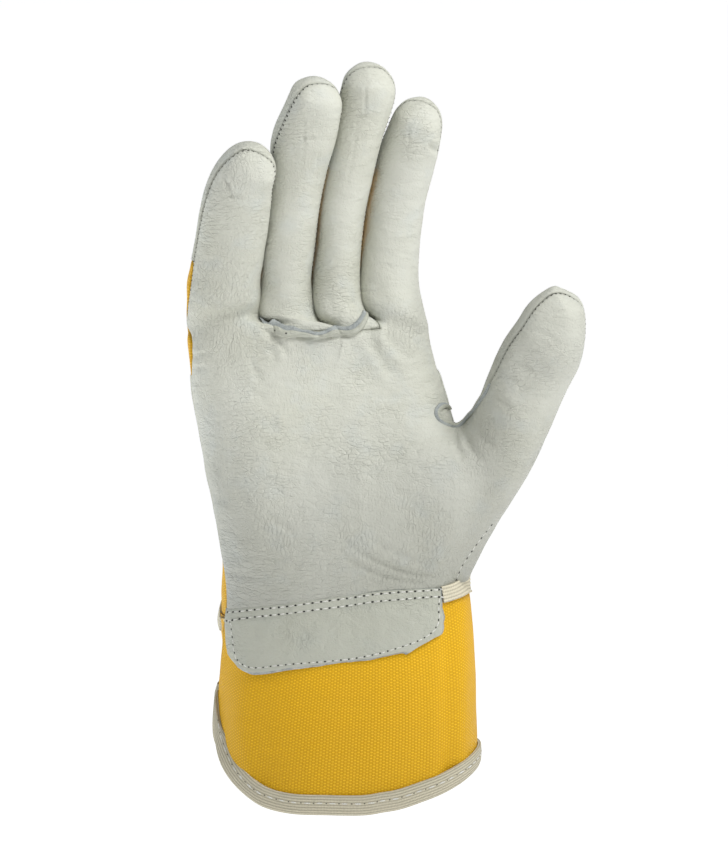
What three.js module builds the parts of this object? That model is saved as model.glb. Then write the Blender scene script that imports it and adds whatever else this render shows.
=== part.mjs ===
import * as THREE from "three";

// Leather work glove for the right hand, in the form a hand gives it. Lengths are millimetres. The palm
// faces -Y, the fingers point along +Z, the thumb leans to +X and the origin is the middle of the wrist.

// Walls and clearances
const leatherWall = 1.6;
const canvasWall = 1.5;
const seamGap = 0.4;
const layerGap = 0.35;

// Faces across the front, and again across the back, of one finger of the control cage
const fingerFaces = 3;
const handFaces = 4 * fingerFaces;

// Exponent of the rounded sections, 1 is an ellipse and smaller is squarer
const fingerRound = 0.92;
const palmRound = 0.8;

// Rows of named values
function table(columns, ...rows) {
  const names = columns.split(" ");
  return rows.map((row) => Object.fromEntries(names.map((name, i) => [name, row[i]])));
}

// Corners of the finger roots, from the little-finger edge to the index edge
const rootPoints = [
  { x: -55.4, y: -3, z: 100.3 },
  { x: -29.1, y: -3, z: 100.3 },
  { x: -8.4, y: -1.5, z: 99.1 },
  { x: 8.1, y: 0, z: 102.0 },
  { x: 28.9, y: 0, z: 100.7 },
];
const rootFront = 13;
const rootBack = 13.5;
const rootLift = 4;

// Sections along each finger: middle of the section, width and depth. left and right turn the side seams
// toward the palm, in degrees.
const fingerColumns = "x y z width depth left right";
const littleRows = table(
  fingerColumns,
  [-42.7, -8, 112.7, 25.6, 25, 26, 0],
  [-41.2, -12.6, 122.6, 24.9, 23.7, 26, 0],
  [-37.5, -22, 143.6, 24.4, 21.5, 31, 0],
  [-34, -26.5, 154.6, 21.6, 20, 36, 5],
);
const ringRows = table(
  fingerColumns,
  [-21, -3.5, 112.4, 18.6, 23, 0, 0],
  [-19.8, -8.5, 128.6, 19, 22, 0, 0],
  [-17.9, -12.5, 142.9, 18.6, 21, 10, 0],
  [-16, -16, 157.1, 20.6, 20.5, 28, 0],
  [-14.2, -19.5, 166.6, 22, 20, 38, 0],
  [-10.4, -23.5, 178.4, 19.6, 19, 42, 0],
);
const middleRows = table(
  fingerColumns,
  [-3.3, 0, 112.2, 17, 23, 0, 0],
  [-2.4, -2.5, 128.2, 16.6, 22, 0, 0],
  [-1.1, -5.5, 142.4, 17.3, 21.5, 0, 0],
  [1.5, -8.5, 156.5, 18, 21, 0, 0],
  [4.9, -12, 169.9, 18.4, 20, 5, 4],
  [8.1, -16, 182.8, 19.2, 19, 16, 6],
);
const indexRows = table(
  fingerColumns,
  [15.8, 2.5, 112, 21.2, 23.5, 0, -8],
  [16, 3, 128, 21.2, 22, 0, -10],
  [17.7, 1.5, 142.2, 20.8, 21.5, 0, -10],
  [21, -2, 156.4, 20.6, 20.5, 0, 0],
  [24.6, -7, 169.5, 18.8, 19, 5, 8],
);

// Fingertips: the crown of the rounded end, and the first row of the leather back cap
const fingers = [
  { name: "little", rows: littleRows, tip: { x: -27.6, y: -31.6, z: 162.9 }, capRow: 2 },
  { name: "ring", rows: ringRows, tip: { x: -8.7, y: -27.6, z: 186.8 }, capRow: 4 },
  { name: "middle", rows: middleRows, tip: { x: 7.3, y: -20, z: 191.7 }, capRow: 4 },
  { name: "index", rows: indexRows, tip: { x: 27.7, y: -10.8, z: 179.1 }, capRow: 0 },
];

// Rings of a rounded end, as latitudes in degrees
const tipLatitudes = [36, 66];

// Sections of the palm and back below the finger roots. left and right are the edges of the section,
// thumb is where the thumb begins in front of the right edge, turn brings the left seam to the palm and
// follow is how far the columns keep to the finger roots.
const handRows = table(
  "left leftY leftZ right thumb thumbZ front back turn follow",
  [-55.4, -3, 95.3, 29.6, 29.6, 95.3, 15.5, 15, 18, 1],
  [-54.2, -1.5, 83, 33, 33, 83, 17, 17, 6, 0.8],
  [-52.2, 0, 66, 38, 38, 66.3, 19, 18.5, 0, 0.3],
  [-49.6, 0, 51.5, 66, 37, 54, 22, 19, 0, 0],
  [-46.6, 0, 36, 60, 36, 40.5, 25.4, 20.5, 3, 0],
  [-43.5, 0, 19, 50.8, 36.5, 27, 27.2, 23, 10, 0],
  [-44.2, 0, 3, 43.7, 40, 14.5, 26, 26, 14, 0],
  [-44.6, 0, -3, 43.4, 43.4, 8.2, 25.2, 27, 14, 0],
);

// Rise of the finger-base seam on the palm side, above the first of these sections
const baseSeam = [
  { column: 0, lift: 0 },
  { column: 2, lift: 2 },
  { column: 3, lift: 4.2 },
  { column: 5, lift: 4 },
  { column: 6, lift: 3 },
  { column: 7, lift: 4 },
  { column: 9, lift: 5 },
  { column: 10, lift: 3 },
  { column: 12, lift: 0 },
];
const middleFingersRow = 1;
const indexBackRow = 2;
const thumbRow = 3;

// Share of an even spacing in the columns of the palm and cuff, against one that crowds at both edges
const evenShare = 0.5;

// Sections along the thumb. width runs from the index side to the outer side, sloping by turn, even is the
// share of an even spacing in its columns and lean how far the section tips with the thumb.
const thumbRows = table(
  "x y z width depth turn left right even lean",
  [48.5, -3.5, 49, 42.4, 32, -78, 16, 8, 0.8, 0],
  [58.4, -10, 68.6, 38.2, 30.5, -67, 32, -10, 0.4, 0.25],
  [66.2, -16, 87, 29.8, 25, -48.5, 35, -18, 0, 0.7],
  [70.6, -19.5, 95.5, 27, 23.5, -41, 35, -16, 0, 1],
  [73.6, -22, 103.5, 22.8, 20.5, -33, 32, -12, 0, 1],
);
const thumbTip = { x: 77.4, y: -25.6, z: 113.3 };
const thumbLatitudes = [50];
const thumbCrown = 0.2;

// Sections of the cuff. drop is the part of the way from the wrist seam to the hem, splitFront and
// splitBack are the edges of the split as angles from the little-finger side toward the palm.
const cuffRows = [
  { drop: 0.11, left: -45.2, right: 44.8, front: 26.8, back: 28, splitFront: 10, splitBack: 10 },
  { drop: 0.58, left: -45.6, right: 46.8, front: 31, back: 31, splitFront: 13, splitBack: 0 },
  { drop: 1, left: -46.5, right: 47.3, front: 32.5, back: 32.5, splitFront: 18, splitBack: -6 },
];

// Height of the hem at columns of the cage, from the split round to the thumb side
const hem = [
  { column: 0, front: -53, back: -51.5 },
  { column: 1, front: -63.2, back: -60.5 },
  { column: 2, front: -66.8, back: -62.5 },
  { column: 3, front: -68, back: -63 },
  { column: 5, front: -68.2, back: -63.2 },
  { column: 7, front: -66.4, back: -62.2 },
  { column: 9, front: -62.4, back: -60.2 },
  { column: 11, front: -58, back: -57.6 },
  { column: 12, front: -56.6, back: -56.6 },
];

// Broad swells and hollows of the surface: side, middle, reach and height toward the outside
const swells = [
  { side: "front", x: -8, z: 60, reachX: 20, reachZ: 26, height: -4 },
  { side: "front", x: 42, z: 42, reachX: 22, reachZ: 24, height: 4.6 },
  { side: "front", x: -34, z: 34, reachX: 12, reachZ: 24, height: 2 },
  { side: "back", x: -10, z: 88, reachX: 34, reachZ: 12, height: 2 },
];

// Gathers of the canvas back above the wrist seam
const gathers = { pitch: 11, low: 4, high: 34, height: 1.3 };

// Strips and trims
const strap = { firstRow: 2, lastRow: 4, wall: 1.6 };
const welt = { height: 2.8, thickness: 1.3 };
const tape = { height: 6.5, thickness: 0.9, startX: 33, clearance: 0.8 };
const binding = { width: 6.2, thickness: 0.8, clearance: 0.5 };

// Pulse patch: top and bottom edge at each station across the cuff
const patchStations = [
  { x: -40.8, top: 1.5, bottom: -8.5 },
  { x: -39.4, top: 2.2, bottom: -13.6 },
  { x: -36.5, top: 2.9, bottom: -18.2 },
  { x: -31.9, top: 3.6, bottom: -20.9 },
  { x: -26, top: 4.3, bottom: -20.4 },
  { x: -18, top: 5.2, bottom: -19 },
  { x: -9, top: 6.2, bottom: -17.7 },
  { x: 0, top: 7.1, bottom: -16.5 },
  { x: 9, top: 7.9, bottom: -15.1 },
  { x: 16, top: 8.5, bottom: -13.7 },
  { x: 21, top: 8.9, bottom: -12.8 },
  { x: 26, top: 9.2, bottom: -10 },
  { x: 30, top: 9.4, bottom: -8 },
  { x: 32.2, top: 9.5, bottom: -6.6 },
];
const patchRows = 3;
const patchGap = 0.5;

// Passes that bring the smooth surface onto the points, and the least spread of a drawn-in corner
const meetPasses = 40;
const sharpest = 0.5;
const edgeStride = 100000;

const leatherColor = "#cfcfc4";
const canvasColor = "#dea21c";
const tapeColor = "#d2c8ab";

// Vectors
function vector({ x, y, z }) {
  return new THREE.Vector3(x, y, z);
}

function mix(a, b, share) {
  return a + (b - a) * share;
}

function sum(points) {
  return points.reduce((total, point) => total.add(point), new THREE.Vector3());
}

// Value of a short table at a column of the cage
function valueAt(rows, column, key) {
  const after = rows.find((row) => row.column >= column);
  const before = rows.findLast((row) => row.column <= column);
  const width = after.column - before.column;
  return mix(before[key], after[key], width ? (column - before.column) / width : 0);
}

function moved(point, direction, distance) {
  return point.clone().addScaledVector(direction, distance);
}

// Point of a rounded section, at an angle in degrees from its left edge round the front
function sectionPoint({ centre, across, toward, half, front, back, round }, degrees) {
  const angle = THREE.MathUtils.degToRad(degrees);
  const bend = (value) => Math.sign(value) * Math.abs(value) ** round;
  const depth = Math.sin(angle) > 0 ? front : back;
  const edge = moved(centre, across, -half * bend(Math.cos(angle)));
  return moved(edge, toward, depth * bend(Math.sin(angle)));
}

function swellAt(side, { x, z }) {
  return swells
    .filter((swell) => swell.side === side)
    .map((swell) => {
      const far = ((x - swell.x) / swell.reachX) ** 2 + ((z - swell.z) / swell.reachZ) ** 2;
      return swell.height * Math.exp(-far);
    })
    .reduce((total, height) => total + height, 0);
}

// Control cage: points to be met, and four-sided faces that carry the name of their piece
const cage = { points: [], faces: [] };

function addPoint(point) {
  cage.points.push(point);
  return cage.points.length - 1;
}

// Indices along one side of a section, at shares of the way from one angle to another. The ends may be
// points that are there already.
function addArc(section, side, shares, from, to, ends) {
  const outward = side === "front" ? 1 : -1;
  return shares.map((share, i) => {
    const known = ends[i];
    if (known !== undefined) return known;
    const point = sectionPoint(section, mix(from, to, share));
    return addPoint(moved(point, section.toward, outward * swellAt(side, point)));
  });
}

// Shares of a width at each column: crowded at both edges, with a share of an even spacing
function widthShares(faces, even) {
  return Array.from({ length: faces + 1 }, (_, column) => {
    return mix((1 - Math.cos((Math.PI * column) / faces)) / 2, column / faces, even);
  });
}

// Angle of a section at a place from -1, its left edge, to 1, its right edge
function angleAt(place, round) {
  const out = THREE.MathUtils.clamp(place, -1, 1);
  return THREE.MathUtils.radToDeg(Math.acos(-Math.sign(out) * Math.abs(out) ** (1 / round)));
}

function ringShares(faces, even) {
  return widthShares(faces, even).map((share) => angleAt(2 * share - 1, fingerRound) / 180);
}

// Closed ring of a section, sharing both side seams
function addRing(section, shares, leftTurn, rightTurn) {
  const left = addPoint(sectionPoint(section, leftTurn));
  const right = addPoint(sectionPoint(section, 180 - rightTurn));
  const ends = { 0: left, [shares.length - 1]: right };
  return {
    front: addArc(section, "front", shares, leftTurn, 180 - rightTurn, ends),
    back: addArc(section, "back", shares, leftTurn, -180 - rightTurn, ends),
  };
}

// Faces between two rows of indices, the upper row nearer to the tips
function addStrip(upper, lower, side, pieceAt, zone) {
  for (let i = 0; i + 1 < upper.length; i += 1) {
    const corners = [upper[i], lower[i], lower[i + 1], upper[i + 1]];
    cage.faces.push({ piece: pieceAt(i), zone, corners: side === "front" ? corners : corners.reverse() });
  }
}

function tubeSection(row, axis) {
  const slope = THREE.MathUtils.degToRad(row.turn ?? 0);
  const level = new THREE.Vector3(Math.cos(slope), 0, Math.sin(slope));
  const forward = new THREE.Vector3(0, -1, 0);
  const across = row.turn === undefined ? axis.clone().cross(forward).normalize() : level;
  const square = across.clone().cross(axis).normalize();
  return {
    centre: vector(row),
    across,
    toward: forward.lerp(square, row.lean ?? 1).normalize(),
    half: row.width / 2,
    front: row.depth / 2,
    back: row.depth / 2,
    round: fingerRound,
  };
}

// Rings along a finger or the thumb, up to and round its tip
function addTube({ rows, tip, latitudes }, start, faces) {
  const centres = [start, ...rows.map(vector), vector(tip)];
  const rings = rows.map((row, i) => {
    const axis = centres[i + 2].clone().sub(centres[i]).normalize();
    return addRing(tubeSection(row, axis), ringShares(faces, row.even ?? 0), row.left, row.right);
  });
  const last = rows.at(-1);
  const rise = vector(tip).sub(vector(last));
  latitudes.forEach((latitude) => {
    const angle = THREE.MathUtils.degToRad(latitude);
    const section = tubeSection(last, rise.clone().normalize());
    section.centre.addScaledVector(rise, Math.sin(angle));
    section.half *= Math.cos(angle);
    section.front *= Math.cos(angle);
    section.back *= Math.cos(angle);
    rings.push(addRing(section, ringShares(faces, 0), last.left, last.right));
  });
  return rings;
}

// Seam line over a tip, between the last ring's side seams
function tipSeam({ front, back }, rise) {
  const seam = [front[0]];
  const faces = front.length - 1;
  for (let i = 2; i < faces - 1; i += 1) {
    const middle = cage.points[front[i]].clone().add(cage.points[back[i]]).divideScalar(2);
    seam.push(addPoint(middle.addScaledVector(rise, Math.sin((Math.PI * i) / faces))));
  }
  return [...seam, front[faces]];
}

// Hand: root corners, one row of points through all finger roots, then the sections down to the wrist
const rootCorners = rootPoints.map((corner) => addPoint(vector(corner)));

function rootSection(number) {
  const [left, right] = [vector(rootPoints[number]), vector(rootPoints[number + 1])];
  return {
    centre: left.clone().add(right).divideScalar(2),
    across: right.clone().sub(left).normalize(),
    toward: new THREE.Vector3(0, -1, 0),
    half: left.distanceTo(right) / 2,
    front: rootFront,
    back: rootBack,
    round: fingerRound,
  };
}

const roots = fingers.map((finger, number) => {
  const section = rootSection(number);
  const ends = { 0: rootCorners[number], [fingerFaces]: rootCorners[number + 1] };
  const shares = ringShares(fingerFaces, 0);
  const front = addArc(section, "front", shares, 0, 180, ends);
  front.slice(1, -1).forEach((index) => cage.points[index].setZ(cage.points[index].z + rootLift));
  return { front, back: addArc(section, "back", shares, 0, -180, ends) };
});

function wholeRow(side) {
  return roots.flatMap((root, number) => root[side].slice(number ? 1 : 0));
}

function handSection({ left, leftY, leftZ, right, thumb, thumbZ, front, back }) {
  const slope = (thumbZ - leftZ) / (thumb - left);
  const half = (right - left) / 2;
  return {
    centre: new THREE.Vector3(left + half, leftY / 2, leftZ + half * slope),
    across: new THREE.Vector3(1, -leftY / (2 * half), slope),
    toward: new THREE.Vector3(0, -1, 0),
    half,
    front,
    back,
    round: palmRound,
  };
}

// Angles of the columns across a section, where the section is met at a share of its width
function columnAngles({ centre, half }, from, to, follow) {
  return widthShares(handFaces, evenShare).map((width, column) => {
    const share = mix(width, rootShares[column], follow);
    return angleAt((mix(from, to, share) - centre.x) / half, palmRound);
  });
}

const rootRow = { front: wholeRow("front"), back: wholeRow("back") };
const rootLine = rootRow.front.map((index) => cage.points[index].x);
const rootShares = rootLine.map((x) => (x - rootLine[0]) / (rootLine.at(-1) - rootLine[0]));

const sections = handRows.map((row) => {
  const section = handSection(row);
  const angles = columnAngles(section, row.left, row.thumb, row.follow);
  const reach = angles.at(-1);
  const shares = angles.map((angle) => angle / reach);
  if (row.thumb === row.right) return addRing(section, shares, row.turn, 0);
  const ends = { 0: addPoint(sectionPoint(section, row.turn)) };
  return {
    front: addArc(section, "front", shares, row.turn, reach, ends),
    back: addArc(section, "back", shares, row.turn, -reach, ends),
  };
});
const hand = [rootRow, ...sections];
hand[middleFingersRow].front.forEach((index, column) => {
  cage.points[index].z += valueAt(baseSeam, column, "lift");
});
const wrist = hand.at(-1);

for (let row = 0; row + 1 < hand.length; row += 1) {
  const zone = row >= strap.firstRow && row < strap.lastRow ? "strap" : undefined;
  addStrip(hand[row].front, hand[row + 1].front, "front", (column) => {
    const middle = column >= fingerFaces && column < 3 * fingerFaces;
    return row < middleFingersRow && middle ? "middle_fingers_front" : "palm_leather";
  });
  addStrip(hand[row].back, hand[row + 1].back, "back", (column) => {
    return row < indexBackRow && column >= 3 * fingerFaces ? "index_back_leather" : "hand_back_canvas";
  }, zone);
}

// Fingers
fingers.forEach(({ name, rows, tip, capRow }, number) => {
  const start = rootSection(number).centre;
  const tube = [roots[number], ...addTube({ rows, tip, latitudes: tipLatitudes }, start, fingerFaces)];
  const frontPiece = name === "ring" || name === "middle" ? "middle_fingers_front" : "palm_leather";
  const capPiece = name === "index" ? "index_back_leather" : `fingertip_cap_${name}`;
  const backAt = (row) => (row >= capRow ? capPiece : "hand_back_canvas");
  for (let row = 0; row + 1 < tube.length; row += 1) {
    addStrip(tube[row + 1].front, tube[row].front, "front", () => frontPiece);
    addStrip(tube[row + 1].back, tube[row].back, "back", () => backAt(row));
  }
  const end = tube.at(-1);
  const seam = tipSeam(end, new THREE.Vector3());
  addStrip(seam, end.front.slice(1, -1), "front", () => frontPiece);
  addStrip(seam, end.back.slice(1, -1), "back", () => capPiece);
});

// Thumb, from the open right-hand edge of the palm and back
const thumbRoot = {
  front: hand.slice(thumbRow).map(({ front }) => front.at(-1)),
  back: hand.slice(thumbRow).map(({ back }) => back.at(-1)),
};
const thumbFaces = thumbRoot.front.length - 1;
const thumbStart = sum(thumbRoot.front.map((index) => cage.points[index])).divideScalar(thumbFaces + 1);
const thumbShape = { rows: thumbRows, tip: thumbTip, latitudes: thumbLatitudes };
const thumb = [thumbRoot, ...addTube(thumbShape, thumbStart, thumbFaces)];
for (let row = 0; row + 1 < thumb.length; row += 1) {
  addStrip(thumb[row + 1].front, thumb[row].front, "front", () => "palm_leather");
  addStrip(thumb[row + 1].back, thumb[row].back, "back", () => "thumb_back_leather");
}
const thumbRise = vector(thumbTip).sub(vector(thumbRows.at(-1)));
const thumbSeam = tipSeam(thumb.at(-1), thumbRise.multiplyScalar(thumbCrown));
addStrip(thumbSeam, thumb.at(-1).front.slice(1, -1), "front", () => "palm_leather");
addStrip(thumbSeam, thumb.at(-1).back.slice(1, -1), "back", () => "thumb_back_leather");

// Cuff, below the wrist row and open along the split
function cuffArc({ drop, left, right, front, back }, side, from, ends) {
  const half = (right - left) / 2;
  const section = {
    centre: new THREE.Vector3(left + half, 0, 0),
    across: new THREE.Vector3(1, 0, 0),
    toward: new THREE.Vector3(0, -1, 0),
    half,
    front,
    back,
    round: palmRound,
  };
  const shares = columnAngles(section, left, right, 0).map((angle) => angle / 180);
  const arc = addArc(section, side, shares, from, side === "front" ? 180 : -180, ends);
  arc.forEach((index, column) => {
    cage.points[index].z = mix(cage.points[wrist[side][column]].z, valueAt(hem, column, side), drop);
  });
  return arc;
}

const cuff = cuffRows.map((row) => {
  const front = cuffArc(row, "front", row.splitFront, {});
  const ends = { [handFaces]: front.at(-1) };
  if (row.splitBack === row.splitFront) ends[0] = front[0];
  return { front, back: cuffArc(row, "back", row.splitBack, ends) };
});
[wrist, ...cuff.slice(0, -1)].forEach((upper, row) => {
  addStrip(upper.front, cuff[row].front, "front", () => "cuff_canvas");
  addStrip(upper.back, cuff[row].back, "back", () => "cuff_canvas");
});

// Smooth surface: the cage is set so that its limit surface meets the points, then divided once
function edgesOf(faces) {
  const edges = new Map();
  faces.forEach(({ corners }, number) => {
    corners.forEach((from, i) => {
      const ends = [from, corners[(i + 1) % 4]];
      const key = Math.min(...ends) * edgeStride + Math.max(...ends);
      if (!edges.has(key)) edges.set(key, { ends, faces: [] });
      edges.get(key).faces.push(number);
    });
  });
  return edges;
}

function neighbours({ points, faces }) {
  const near = points.map(() => ({ beside: [], across: [], rim: [] }));
  edgesOf(faces).forEach(({ ends: [a, b], faces: shared }) => {
    near[a].beside.push(b);
    near[b].beside.push(a);
    if (shared.length > 1) return;
    near[a].rim.push(b);
    near[b].rim.push(a);
  });
  faces.forEach(({ corners }) => {
    corners.forEach((corner, i) => near[corner].across.push(corners[(i + 2) % 4]));
  });
  return near;
}

function limitPoints(mesh, near) {
  return mesh.points.map((point, index) => {
    const { beside, across, rim } = near[index];
    const sumOf = (indices) => sum(indices.map((other) => mesh.points[other]));
    if (rim.length) return sumOf(rim).addScaledVector(point, 4).divideScalar(6);
    const count = beside.length;
    const total = sumOf(across).addScaledVector(sumOf(beside), 4).addScaledVector(point, count * count);
    return total.divideScalar(count * (count + 5));
  });
}

function meetPoints(mesh) {
  const near = neighbours(mesh);
  const targets = mesh.points;
  let points = targets.map((point) => point.clone());
  for (let pass = 0; pass < meetPasses; pass += 1) {
    const limits = limitPoints({ points }, near);
    points = points.map((point, i) => point.add(targets[i]).sub(limits[i]));
  }
  return { points, faces: mesh.faces };
}

function divide({ points, faces }) {
  const at = (indices) => sum(indices.map((index) => points[index])).divideScalar(indices.length);
  const near = neighbours({ points, faces });
  const centres = faces.map(({ corners }) => at(corners));
  const edges = edgesOf(faces);
  const around = points.map(() => []);
  faces.forEach(({ corners }, number) => corners.forEach((corner) => around[corner].push(number)));
  const result = points.map((point, index) => {
    const { beside, rim } = near[index];
    if (rim.length) return at(rim).addScaledVector(point, 3).divideScalar(4);
    const count = beside.length;
    const middles = at(beside).add(point);
    const inside = sum(around[index].map((number) => centres[number])).divideScalar(count);
    return inside.add(middles).addScaledVector(point, count - 3).divideScalar(count);
  });
  edges.forEach((edge) => {
    edge.middle = result.length;
    const shared = sum(edge.faces.map((number) => centres[number]));
    const middle = at(edge.ends);
    if (edge.faces.length > 1) middle.multiplyScalar(2).add(shared).divideScalar(4);
    result.push(middle);
  });
  const firstCentre = result.length;
  const between = (a, b) => edges.get(Math.min(a, b) * edgeStride + Math.max(a, b)).middle;
  const quarters = faces.flatMap(({ piece, zone, corners }, number) => {
    return corners.map((corner, i) => {
      const [next, previous] = [corners[(i + 1) % 4], corners[(i + 3) % 4]];
      const quarter = [corner, between(corner, next), firstCentre + number, between(previous, corner)];
      return { piece, zone, corners: quarter };
    });
  });
  return { points: [...result, ...centres], faces: quarters, between };
}

// Outward direction at every point
function normalsOf({ points, faces }) {
  const normals = points.map(() => new THREE.Vector3());
  faces.forEach(({ corners: [a, b, c, d] }) => {
    const [first, second] = [points[c].clone().sub(points[a]), points[d].clone().sub(points[b])];
    const facing = first.cross(second);
    [a, b, c, d].forEach((corner) => normals[corner].add(facing));
  });
  return normals.map((normal) => normal.normalize());
}

const divided = divide(meetPoints(cage));
const surface = { faces: divided.faces, near: neighbours(divided) };
surface.points = limitPoints(divided, surface.near);
surface.normals = normalsOf(surface);

// Gathers of the canvas back: ridges that run down to the wrist seam
const canvasPoints = new Set();
surface.faces.forEach(({ piece, corners }) => {
  if (piece === "hand_back_canvas") corners.forEach((corner) => canvasPoints.add(corner));
});
surface.faces.forEach(({ piece, corners }) => {
  if (piece !== "hand_back_canvas") corners.forEach((corner) => canvasPoints.delete(corner));
});
canvasPoints.forEach((index) => {
  const { x, z } = surface.points[index];
  const up = (z - wristHeight(x) - gathers.low) / (gathers.high - gathers.low);
  if (up <= 0 || up >= 1) return;
  const ridge = Math.cos((2 * Math.PI * x) / gathers.pitch);
  const height = gathers.height * ridge * Math.sin(Math.PI * up);
  surface.points[index].addScaledVector(surface.normals[index], height);
});

function wristHeight(x) {
  const { left, leftZ, thumb, thumbZ } = handRows.at(-1);
  return mix(leftZ, thumbZ, (x - left) / (thumb - left));
}

// Geometry from points and faces of three or four corners
function solidOf(points, faces) {
  const triangles = faces.flatMap((corners) => {
    const [a, b, c, d] = corners;
    return d === undefined ? [a, b, c] : [a, b, c, a, c, d];
  });
  const values = points.flatMap((point) => point.toArray());
  const geometry = new THREE.BufferGeometry();
  geometry.setAttribute("position", new THREE.Float32BufferAttribute(values, 3));
  geometry.setIndex(triangles);
  geometry.computeVertexNormals();
  return geometry;
}

// Sheet of the faces picked, from height low to height high over the surface, drawn in at its edges
function sheet({ points, normals }, picked, low, high) {
  const edges = picked.flatMap(({ corners }) => {
    const [a, b, c, d] = corners.map((corner) => points[corner]);
    const facing = c.clone().sub(a).cross(d.clone().sub(b));
    return corners.map((from, i) => ({ from, to: corners[(i + 1) % 4], facing }));
  });
  const known = new Set(edges.map(({ from, to }) => `${from}>${to}`));
  const rims = edges.filter(({ from, to }) => !known.has(`${to}>${from}`));
  const inward = new Map();
  rims.forEach(({ from, to, facing }) => {
    const draw = facing.clone().cross(points[to].clone().sub(points[from])).normalize();
    [from, to].forEach((end) => inward.set(end, [...(inward.get(end) ?? []), draw]));
  });
  const used = [...new Set(picked.flatMap(({ corners }) => corners))];
  const place = new Map(used.map((index, i) => [index, i]));
  const base = used.map((index) => {
    const draws = inward.get(index);
    if (!draws) return points[index];
    const total = sum(draws);
    return moved(points[index], total, seamGap / Math.max(total.lengthSq(), 2 * sharpest));
  });
  const level = (height) => base.map((point, i) => moved(point, normals[used[i]], height));
  const count = used.length;
  const outer = picked.map(({ corners }) => corners.map((corner) => place.get(corner)));
  const inner = outer.map(([a, b, c, d]) => [a + count, d + count, c + count, b + count]);
  const walls = rims.map((rim) => {
    const [from, to] = [place.get(rim.from), place.get(rim.to)];
    const wall = [from, from + count, to + count, to];
    return rim.from < rim.to ? [to, ...wall.slice(0, 3)] : wall;
  });
  return solidOf([...level(high), ...level(low)], [...outer, ...inner, ...walls]);
}

// Sweep of a profile through stations, each a ring of points; the ends are closed by the caps given
function sweep(stations, caps) {
  const size = stations[0].length;
  const faces = [];
  for (let i = 0; i + 1 < stations.length; i += 1) {
    for (let j = 0; j < size; j += 1) {
      const next = (j + 1) % size;
      faces.push([i * size + j, i * size + next, (i + 1) * size + next, (i + 1) * size + j]);
    }
  }
  const last = (stations.length - 1) * size;
  caps.forEach((corners) => {
    faces.push([...corners].reverse());
    faces.push(corners.map((corner) => corner + last));
  });
  return solidOf(stations.flat(), faces);
}

// Point of the surface at a distance from one of its points toward a neighbour, and on past it
function alongSurface(from, toward, distance) {
  const [start, end] = [surface.points[from], surface.points[toward]];
  const length = start.distanceTo(end);
  if (length >= distance) {
    const share = distance / length;
    const normal = surface.normals[from].clone().lerp(surface.normals[toward], share).normalize();
    return { point: start.clone().lerp(end, share), normal };
  }
  const around = new Set(surface.near[from].beside);
  surface.near[from].across.forEach((index) => around.add(index));
  const onward = surface.near[toward].beside.find((index) => index !== from && !around.has(index));
  return alongSurface(toward, onward, distance - length);
}

// Points along a row of the cage after it is divided
function chain(indices) {
  return indices.flatMap((index, i) => (i ? [divided.between(indices[i - 1], index), index] : [index]));
}

// Flat strip laid on the surface along a row of its points
function weltAlong(path) {
  const stations = path.map((index, i) => {
    const [before, after] = [path[Math.max(i - 1, 0)], path[Math.min(i + 1, path.length - 1)]];
    const along = surface.points[after].clone().sub(surface.points[before]);
    const normal = surface.normals[index];
    const side = normal.clone().cross(along).normalize();
    const corner = (height, reach) => moved(moved(surface.points[index], normal, height), side, reach);
    const [low, high, half] = [layerGap, layerGap + welt.thickness, welt.height / 2];
    return [corner(low, -half), corner(low, half), corner(high, half), corner(high, -half)];
  });
  return sweep(stations, [[0, 1, 2, 3]]);
}

function tapeRound(path) {
  const onPath = new Set(path);
  const stations = path.map((index) => {
    const others = surface.near[index].beside.filter((other) => !onPath.has(other));
    const sorted = others.sort((a, b) => surface.points[b].z - surface.points[a].z);
    const up = alongSurface(index, sorted[0], tape.height / 2);
    const down = alongSurface(index, sorted.at(-1), tape.height / 2);
    const middle = { point: surface.points[index], normal: surface.normals[index] };
    const at = ({ point, normal }, height) => moved(point, normal, height);
    const [low, high] = [tape.clearance, tape.clearance + tape.thickness];
    return [at(up, high), at(middle, high), at(down, high), at(down, low), at(middle, low), at(up, low)];
  });
  return sweep(stations, [[0, 1, 4, 5], [1, 2, 3, 4]]);
}

// Binding folded over the hem: an outer leg, the fold and an inner leg
function bindingAlong(path) {
  const near = binding.clearance;
  const far = near + binding.thickness;
  const stations = path.map((index) => {
    const { beside, across, rim } = surface.near[index];
    const inner = beside.find((other) => !rim.includes(other)) ?? across[0];
    const edge = { point: surface.points[index], normal: surface.normals[index] };
    const end = alongSurface(index, inner, binding.width);
    const outward = edge.point.clone().sub(surface.points[inner]).normalize();
    const at = ({ point, normal }, height, reach) => moved(moved(point, normal, height), outward, reach);
    return [
      at(end, far, 0),
      at(edge, far, far),
      at(edge, -canvasWall - far, far),
      at(end, -canvasWall - far, 0),
      at(end, -canvasWall - near, 0),
      at(edge, -canvasWall - near, near),
      at(edge, near, near),
      at(end, near, 0),
    ];
  });
  return sweep(stations, [[0, 1, 6, 7], [1, 2, 5, 6], [2, 3, 4, 5]]);
}

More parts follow.
